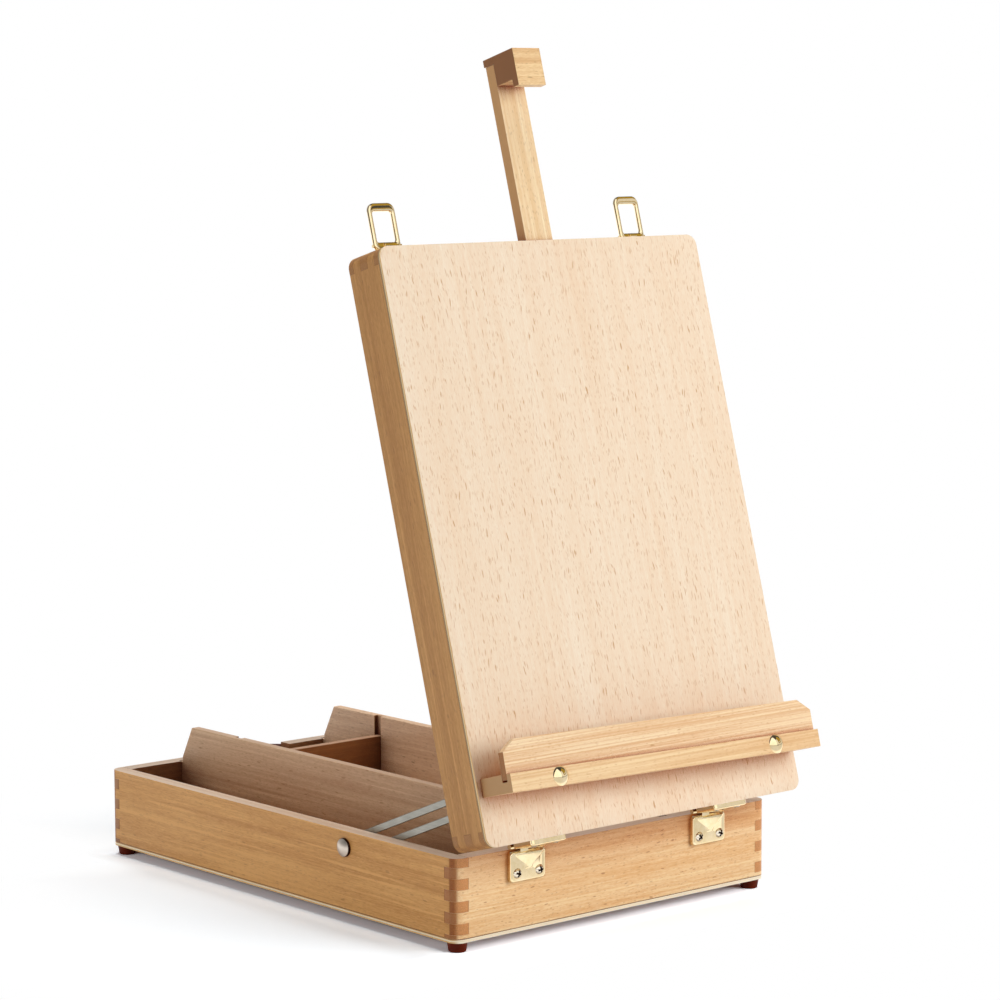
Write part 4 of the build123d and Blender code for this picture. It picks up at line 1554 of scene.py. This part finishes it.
@dataclass
class Studio:
    """Pale floor, white surround, soft lights and the camera.

    The floor's sizes are in metres. shade is how far its shadow's edge lies from the box: left, right, in
    front and behind. near is where the floor next to the box is lifted and by how much, and past is where
    the rear left corner turns white; these lifts and the cool tints near the box and in front are painted
    light that thins the shadow as the camera sees it. What polished metal mirrors is given as two bounds and
    a steepness in turn and then in height, and its level.
    """

    camera_at: tuple[float, float, float] = (-1326.7, -1611.0, 482.4)
    camera_way: tuple[float, float, float] = (0.6477, 0.7526, -0.1182)
    camera_roll: float = -0.17
    lens: float = 118.8
    sensor: float = 36.0
    floor_half: float = 8.0
    floor_z: float = -6.2
    floor_tint: Colour = (1.20, 1.22, 1.24, 1.0)
    # Painted light: the camera sees the paper next to the box and in front lifted and tinted cool.
    floor_near_painted_tint: Colour = (1.13, 1.18, 1.22, 1.0)
    floor_front_painted_lift: Colour = (1.75, 1.84, 1.92, 1.0)
    shade: tuple[float, float, float, float] = (0.24, 0.035, 0.05, 0.20)
    shade_rear_share: float = 0.45
    shade_rear_at: float = 0.13
    near: Span = (0.0, 0.014)
    near_painted_lift: Span = (1.45, 1.0)
    clear: Span = (0.004, 0.016)
    past_along: Span = (0.1, 0.16)
    past_across: Span = (-0.07, -BOX_HALF_W * MM)
    front_at: Span = (-0.165, -0.18)
    strip_at: Span = (-0.33, -0.27)
    strip_level: Span = (-0.12, 0.4)
    soft_light: float = 0.15
    softbox: tuple[Bounds, Bounds] = ((-1.25, 0.2, 12.0), (0.04, 1.3, 12.0))
    softbox_level: float = 1.5
    side_card: tuple[Bounds, Bounds] = ((0.2, 0.62, 16.0), (0.1, 0.8, 12.0))
    low_wall: tuple[Bounds, Bounds] = ((0.42, 2.2, 20.0), (0.03, 0.24, 40.0))
    high_wall: tuple[Bounds, Bounds] = ((0.778, 2.2, 60.0), (0.3, 0.42, 25.0))
    wall_level: float = 0.88
    amber: tuple[Bounds, Bounds] = ((0.5, 1.5, 12.0), (0.25, 0.85, 40.0))
    amber_gap: Bounds = (0.355, 0.42, 60.0)
    amber_level: float = 0.75
    room_level: Span = (0.45, 0.06)
    lamps: list[tuple[str, tuple[float, float, float], float, float]] = field(default_factory=lambda: [
        ("key", (1350.0, -2700.0, 1150.0), 2.0, 71.0),
        ("top", (200.0, 300.0, 2200.0), 1.6, 34.0),
        ("left", (-2200.0, 250.0, 450.0), 1.4, 15.5),
    ])
    lamps_aim: tuple[float, float, float] = (0.0, -0.05, 0.2)

    def build(self) -> None:
        """Make the floor, the surround, the lamps and the camera."""
        self.floor()
        self.surround()
        for name, at, size, power in self.lamps:
            self.lamp(name, at, size, power)
        self.camera()

    def floor(self) -> None:
        """A flat sheet under the feet that takes the object's shadow and fades to white around it.

        Paper shows near the box, lifted and tinted cool as the camera sees it: painted light that thins the
        shadow.
        To the eye the rest is an even white, and polished metal sees it glow brighter near the box than far
        in front, a painted reflection.
        """
        half = self.floor_half / MM
        corners = np.array([[[-half, -half, self.floor_z], [half, -half, self.floor_z]],
                            [[-half, half, self.floor_z], [half, half, self.floor_z]]])
        sheet = surface("studio_floor", corners, wrap_columns=False, capped=False)
        material = bpy.data.materials.new("matt_white_paper")
        add = cleared(material)
        place = add("TexCoord").outputs["Object"]
        path = add("LightPath").outputs
        along = add("SeparateXYZ", {}, (place,)).outputs[1]
        far, painted_lift = self.fade(add, place)
        # Painted light: next to the box and in front the paper is lifted and tinted cool for the camera,
        # thinning the shadow.
        lit = add("Mix", COLOURS, (far, self.floor_near_painted_tint, self.floor_tint))
        ahead = add("MapRange", {}, (along, *self.front_at, 0.0, 1.0))
        lit = add("Mix", COLOURS, (ahead, lit, self.floor_front_painted_lift))
        lit = add("VectorMath", {"operation": "SCALE"}, (lit, painted_lift))
        tint = add("Mix", COLOURS, (path["Is Camera Ray"], linear("#E6E6E7"), lit))
        paper = add("BsdfDiffuse", {}, {"Color": tint, "Roughness": 0.6})
        # Painted reflection: to polished metal the floor glows brighter near the box than far in front of
        # it.
        strip = add("MapRange", {}, (along, *self.strip_at, *self.strip_level))
        painted_glow = add("Math", LINE, (path["Is Glossy Ray"], strip, 1.0))
        white = add("Emission", {}, {"Color": linear("#FFFFFF"), "Strength": painted_glow})
        seen = add("Math", LARGER, (path["Is Camera Ray"], path["Is Glossy Ray"]))
        both = add("MixShader", {}, (add("Math", TIMES, (far, seen)), paper, white))
        add("OutputMaterial", {}, {"Surface": both})
        sheet.data.materials.append(material)

    def fade(self, add: Adder, place: Socket) -> tuple[Node, Node]:
        """How the floor changes with the distance from the box's outline.

        The distance runs from the outline outwards, each way divided by its own reach, so that the edge of
        the shade is an ellipse round each corner. Behind the left side the reach shortens towards the rear,
        and past the rear left corner the floor is white.

        Args:
            add: add_node for the floor's tree.
            place: the point on the floor, in metres.

        Returns:
            How white the floor is, from 0 to 1, and a gain that lifts the floor next to the box, painted
            light that thins the contact shadow.
        """
        smooth = {"interpolation_type": "SMOOTHSTEP"}
        left, right, front, rear = self.shade
        outside = add("VectorMath", SIZE, (place,))
        outside = add("VectorMath", MINUS, (outside, (BOX_HALF_W * MM, BOX_HALF_L * MM, 1.0)))
        outside = add("VectorMath", LARGER, (outside, (0.0, 0.0, 0.0)))
        across, along = add("SeparateXYZ", {}, (place,)).outputs[:2]
        at_right = add("Math", ABOVE, (across, 0.0))
        at_front = add("Math", BELOW, (along, 0.0))
        shorter = add("MapRange", {}, (along, 0.0, self.shade_rear_at, left, self.shade_rear_share * left))
        at_left = add("Math", TIMES, (shorter, add("Math", MINUS, (1.0, at_right))))
        sideways = add("Math", LINE, (at_right, right, at_left))
        reach = add("CombineXYZ", {}, (sideways, add("Math", LINE, (at_front, front - rear, rear)), 1.0))
        flat = add("VectorMath", TIMES, (outside, (1.0, 1.0, 0.0)))
        distance = add("VectorMath", {"operation": "LENGTH"}, (flat,))
        away = add("MapRange", {}, (distance, *self.clear, 0.0, 1.0))
        painted_lift = add("MapRange", {}, (distance, *self.near, *self.near_painted_lift))
        scaled = add("VectorMath", {"operation": "DIVIDE"}, (outside, reach))
        gone = add("VectorMath", {"operation": "LENGTH"}, (scaled,))
        far = add("MapRange", smooth, (gone, 0.0, 1.0, 0.0, 1.0))
        past = add("Math", TIMES, (add("MapRange", smooth, (along, *self.past_along, 0.0, 1.0)),
                                   add("MapRange", {}, (across, *self.past_across, 0.0, 1.0))))
        return add("Math", LARGER, (far, add("Math", TIMES, (past, away)))), painted_lift

    def surround(self) -> None:
        """White to the eye; to polished metal a dark room with a softbox and a bright wall; soft as a light.

        The room is laid out by turn (0 to the front, growing to the right) and height of the mirrored ray.
        """
        world = bpy.data.worlds.new("white_surround")
        bpy.context.scene.world = world
        add = cleared(world)
        path = add("LightPath").outputs
        x, y, z = add("SeparateXYZ", {}, (add("TexCoord").outputs["Generated"],)).outputs
        turn = add("Math", {"operation": "ARCTAN2"}, (x, add("Math", TIMES, (y, -1.0))))

        def within(value: Socket | Node, low: float, high: float, steep: float) -> Node:
            """One between two bounds, with sides of the given steepness."""
            off = add("Math", SIZE, (add("Math", MINUS, (value, (low + high) / 2)),))
            return add("Math", MASK, (off, -steep, (high - low) / 2 * steep + 0.5))

        def patch(turns: Bounds, heights: Bounds) -> Node:
            """A soft-edged rectangle: bounds and steepness in turn, then in height."""
            return add("Math", TIMES, (within(turn, *turns), within(z, *heights)))

        softbox, side = patch(*self.softbox), patch(*self.side_card)
        wall = add("Math", LARGER, (patch(*self.low_wall), patch(*self.high_wall)))
        card = add("Math", MINUS, (1.0, within(z, *self.amber_gap)))
        amber = add("Math", TIMES, (patch(*self.amber), card))
        room = add("Math", LINE, (add("Math", LARGER, (y, 0.0)), *self.room_level))
        room = add("Math", LARGER, (room, add("Math", TIMES, (amber, self.amber_level))))
        softbox = add("Math", TIMES, (softbox, self.softbox_level))
        mirror = add("Math", LARGER, (softbox, add("Math", TIMES, (wall, self.wall_level))))
        mirror = add("Math", LARGER, (mirror, side))
        lit = add("Math", ABOVE, (room, mirror))
        mirror = add("Math", LARGER, (mirror, room))
        warm = add("Math", TIMES, (add("Math", TIMES, (amber, lit)), path["Is Glossy Ray"]))
        extra = add("Math", MINUS, (mirror, self.soft_light))
        level = add("Math", LINE, (path["Is Glossy Ray"], extra, self.soft_light))
        level = add("Math", LARGER, (level, path["Is Camera Ray"]))
        colour = add("Mix", COLOURS, (warm, linear("#FFFFFF"), linear("#CDAF50")))
        add("OutputWorld", {}, {"Surface": add("Background", {}, {"Color": colour, "Strength": level})})

    def lamp(self, name: str, at: tuple[float, float, float], size: float, power: float) -> None:
        """Hang a square soft light that faces the middle of the box and that metal doesn't mirror.

        Args:
            name: the lamp's name.
            at: its place in millimetres.
            size: its side in metres.
            power: its power in watts.
        """
        light = bpy.data.lights.new(name, "AREA")
        light.energy = power
        light.size = size
        lamp = bpy.data.objects.new(name, light)
        place = np.array(at) * MM
        lamp.matrix_world = facing_matrix(place, place - np.array(self.lamps_aim), 0.0)
        lamp.visible_glossy = False
        bpy.context.scene.collection.objects.link(lamp)

    def camera(self) -> None:
        """Set the camera in front and to the left of the box, looking slightly down."""
        eye = bpy.data.cameras.new("camera")
        eye.lens = self.lens
        eye.sensor_width = self.sensor
        eye.clip_end = 100.0
        seen = bpy.data.objects.new("camera", eye)
        seen.matrix_world = facing_matrix(np.array(self.camera_at) * MM, -np.array(self.camera_way),
                                          math.radians(self.camera_roll))
        bpy.context.scene.collection.objects.link(seen)
        bpy.context.scene.camera = seen


def facing_matrix(at: Array, back: Array, roll: float) -> Matrix:
    """Placement that looks away from a direction, upright but for a roll.

    Args:
        at: position in metres.
        back: the direction behind, opposite to the view.
        roll: turn about the view in radians.

    Returns:
        A 4 by 4 matrix.
    """
    z = back / np.linalg.norm(back)
    x = np.cross([0.0, 0.0, 1.0], z)
    x /= np.linalg.norm(x)
    y = np.cross(z, x)
    turned_x = x * math.cos(roll) + y * math.sin(roll)
    turned_y = y * math.cos(roll) - x * math.sin(roll)
    placed = np.eye(4)
    placed[:3] = np.stack([turned_x, turned_y, z, at], axis=1)
    return Matrix(placed.tolist())


def main() -> None:
    """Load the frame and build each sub-assembly in turn."""
    logging.basicConfig(level=logging.INFO, format="%(name)s: %(message)s")
    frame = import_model()
    bpy.context.scene.view_settings.view_transform = "Standard"
    brass = Plated("bright_brass_plate", "#EEDBB6", "#DEC48E", 0.07).material()
    nickel = Plated("bright_nickel_plate", "#E8DECC", "#CFC3AE", 0.12).material()
    bolt_head = Plated("satin_nickel_bolt_head", "#D8CCC0", "#BFB3A6", 0.36).material()
    # Painted shade: a dark finish for the screws' recesses and the edges of the bolt discs.
    recess = Plated("painted_shade_in_recess", "#3A2416", "#1A0F08", 0.5).material()
    steel = RolledSteel("zinc_plated_strip").material()
    leather = VegTanLeather("waxed_hide").material()
    plastic = MouldedPlastic("moulded_foot").material()
    finishes = {"brass_plate": brass, "nickel_plate": nickel, "zinc_steel": steel,
                "leather_brown": leather, "plastic_brown": plastic}
    for entry in frame["record"]["subparts"]:
        if entry["material_slot"] in finishes:
            solid = frame["nodes"][entry["node"]]
            solid.data.materials.clear()
            solid.data.materials.append(finishes[entry["material_slot"]])
    Boards().build()
    Hardware(brass, nickel, bolt_head, recess, steel, plastic, leather).build()
    Studio().build()
    log.info("pieces done")


if __name__ == "__main__":
    main()
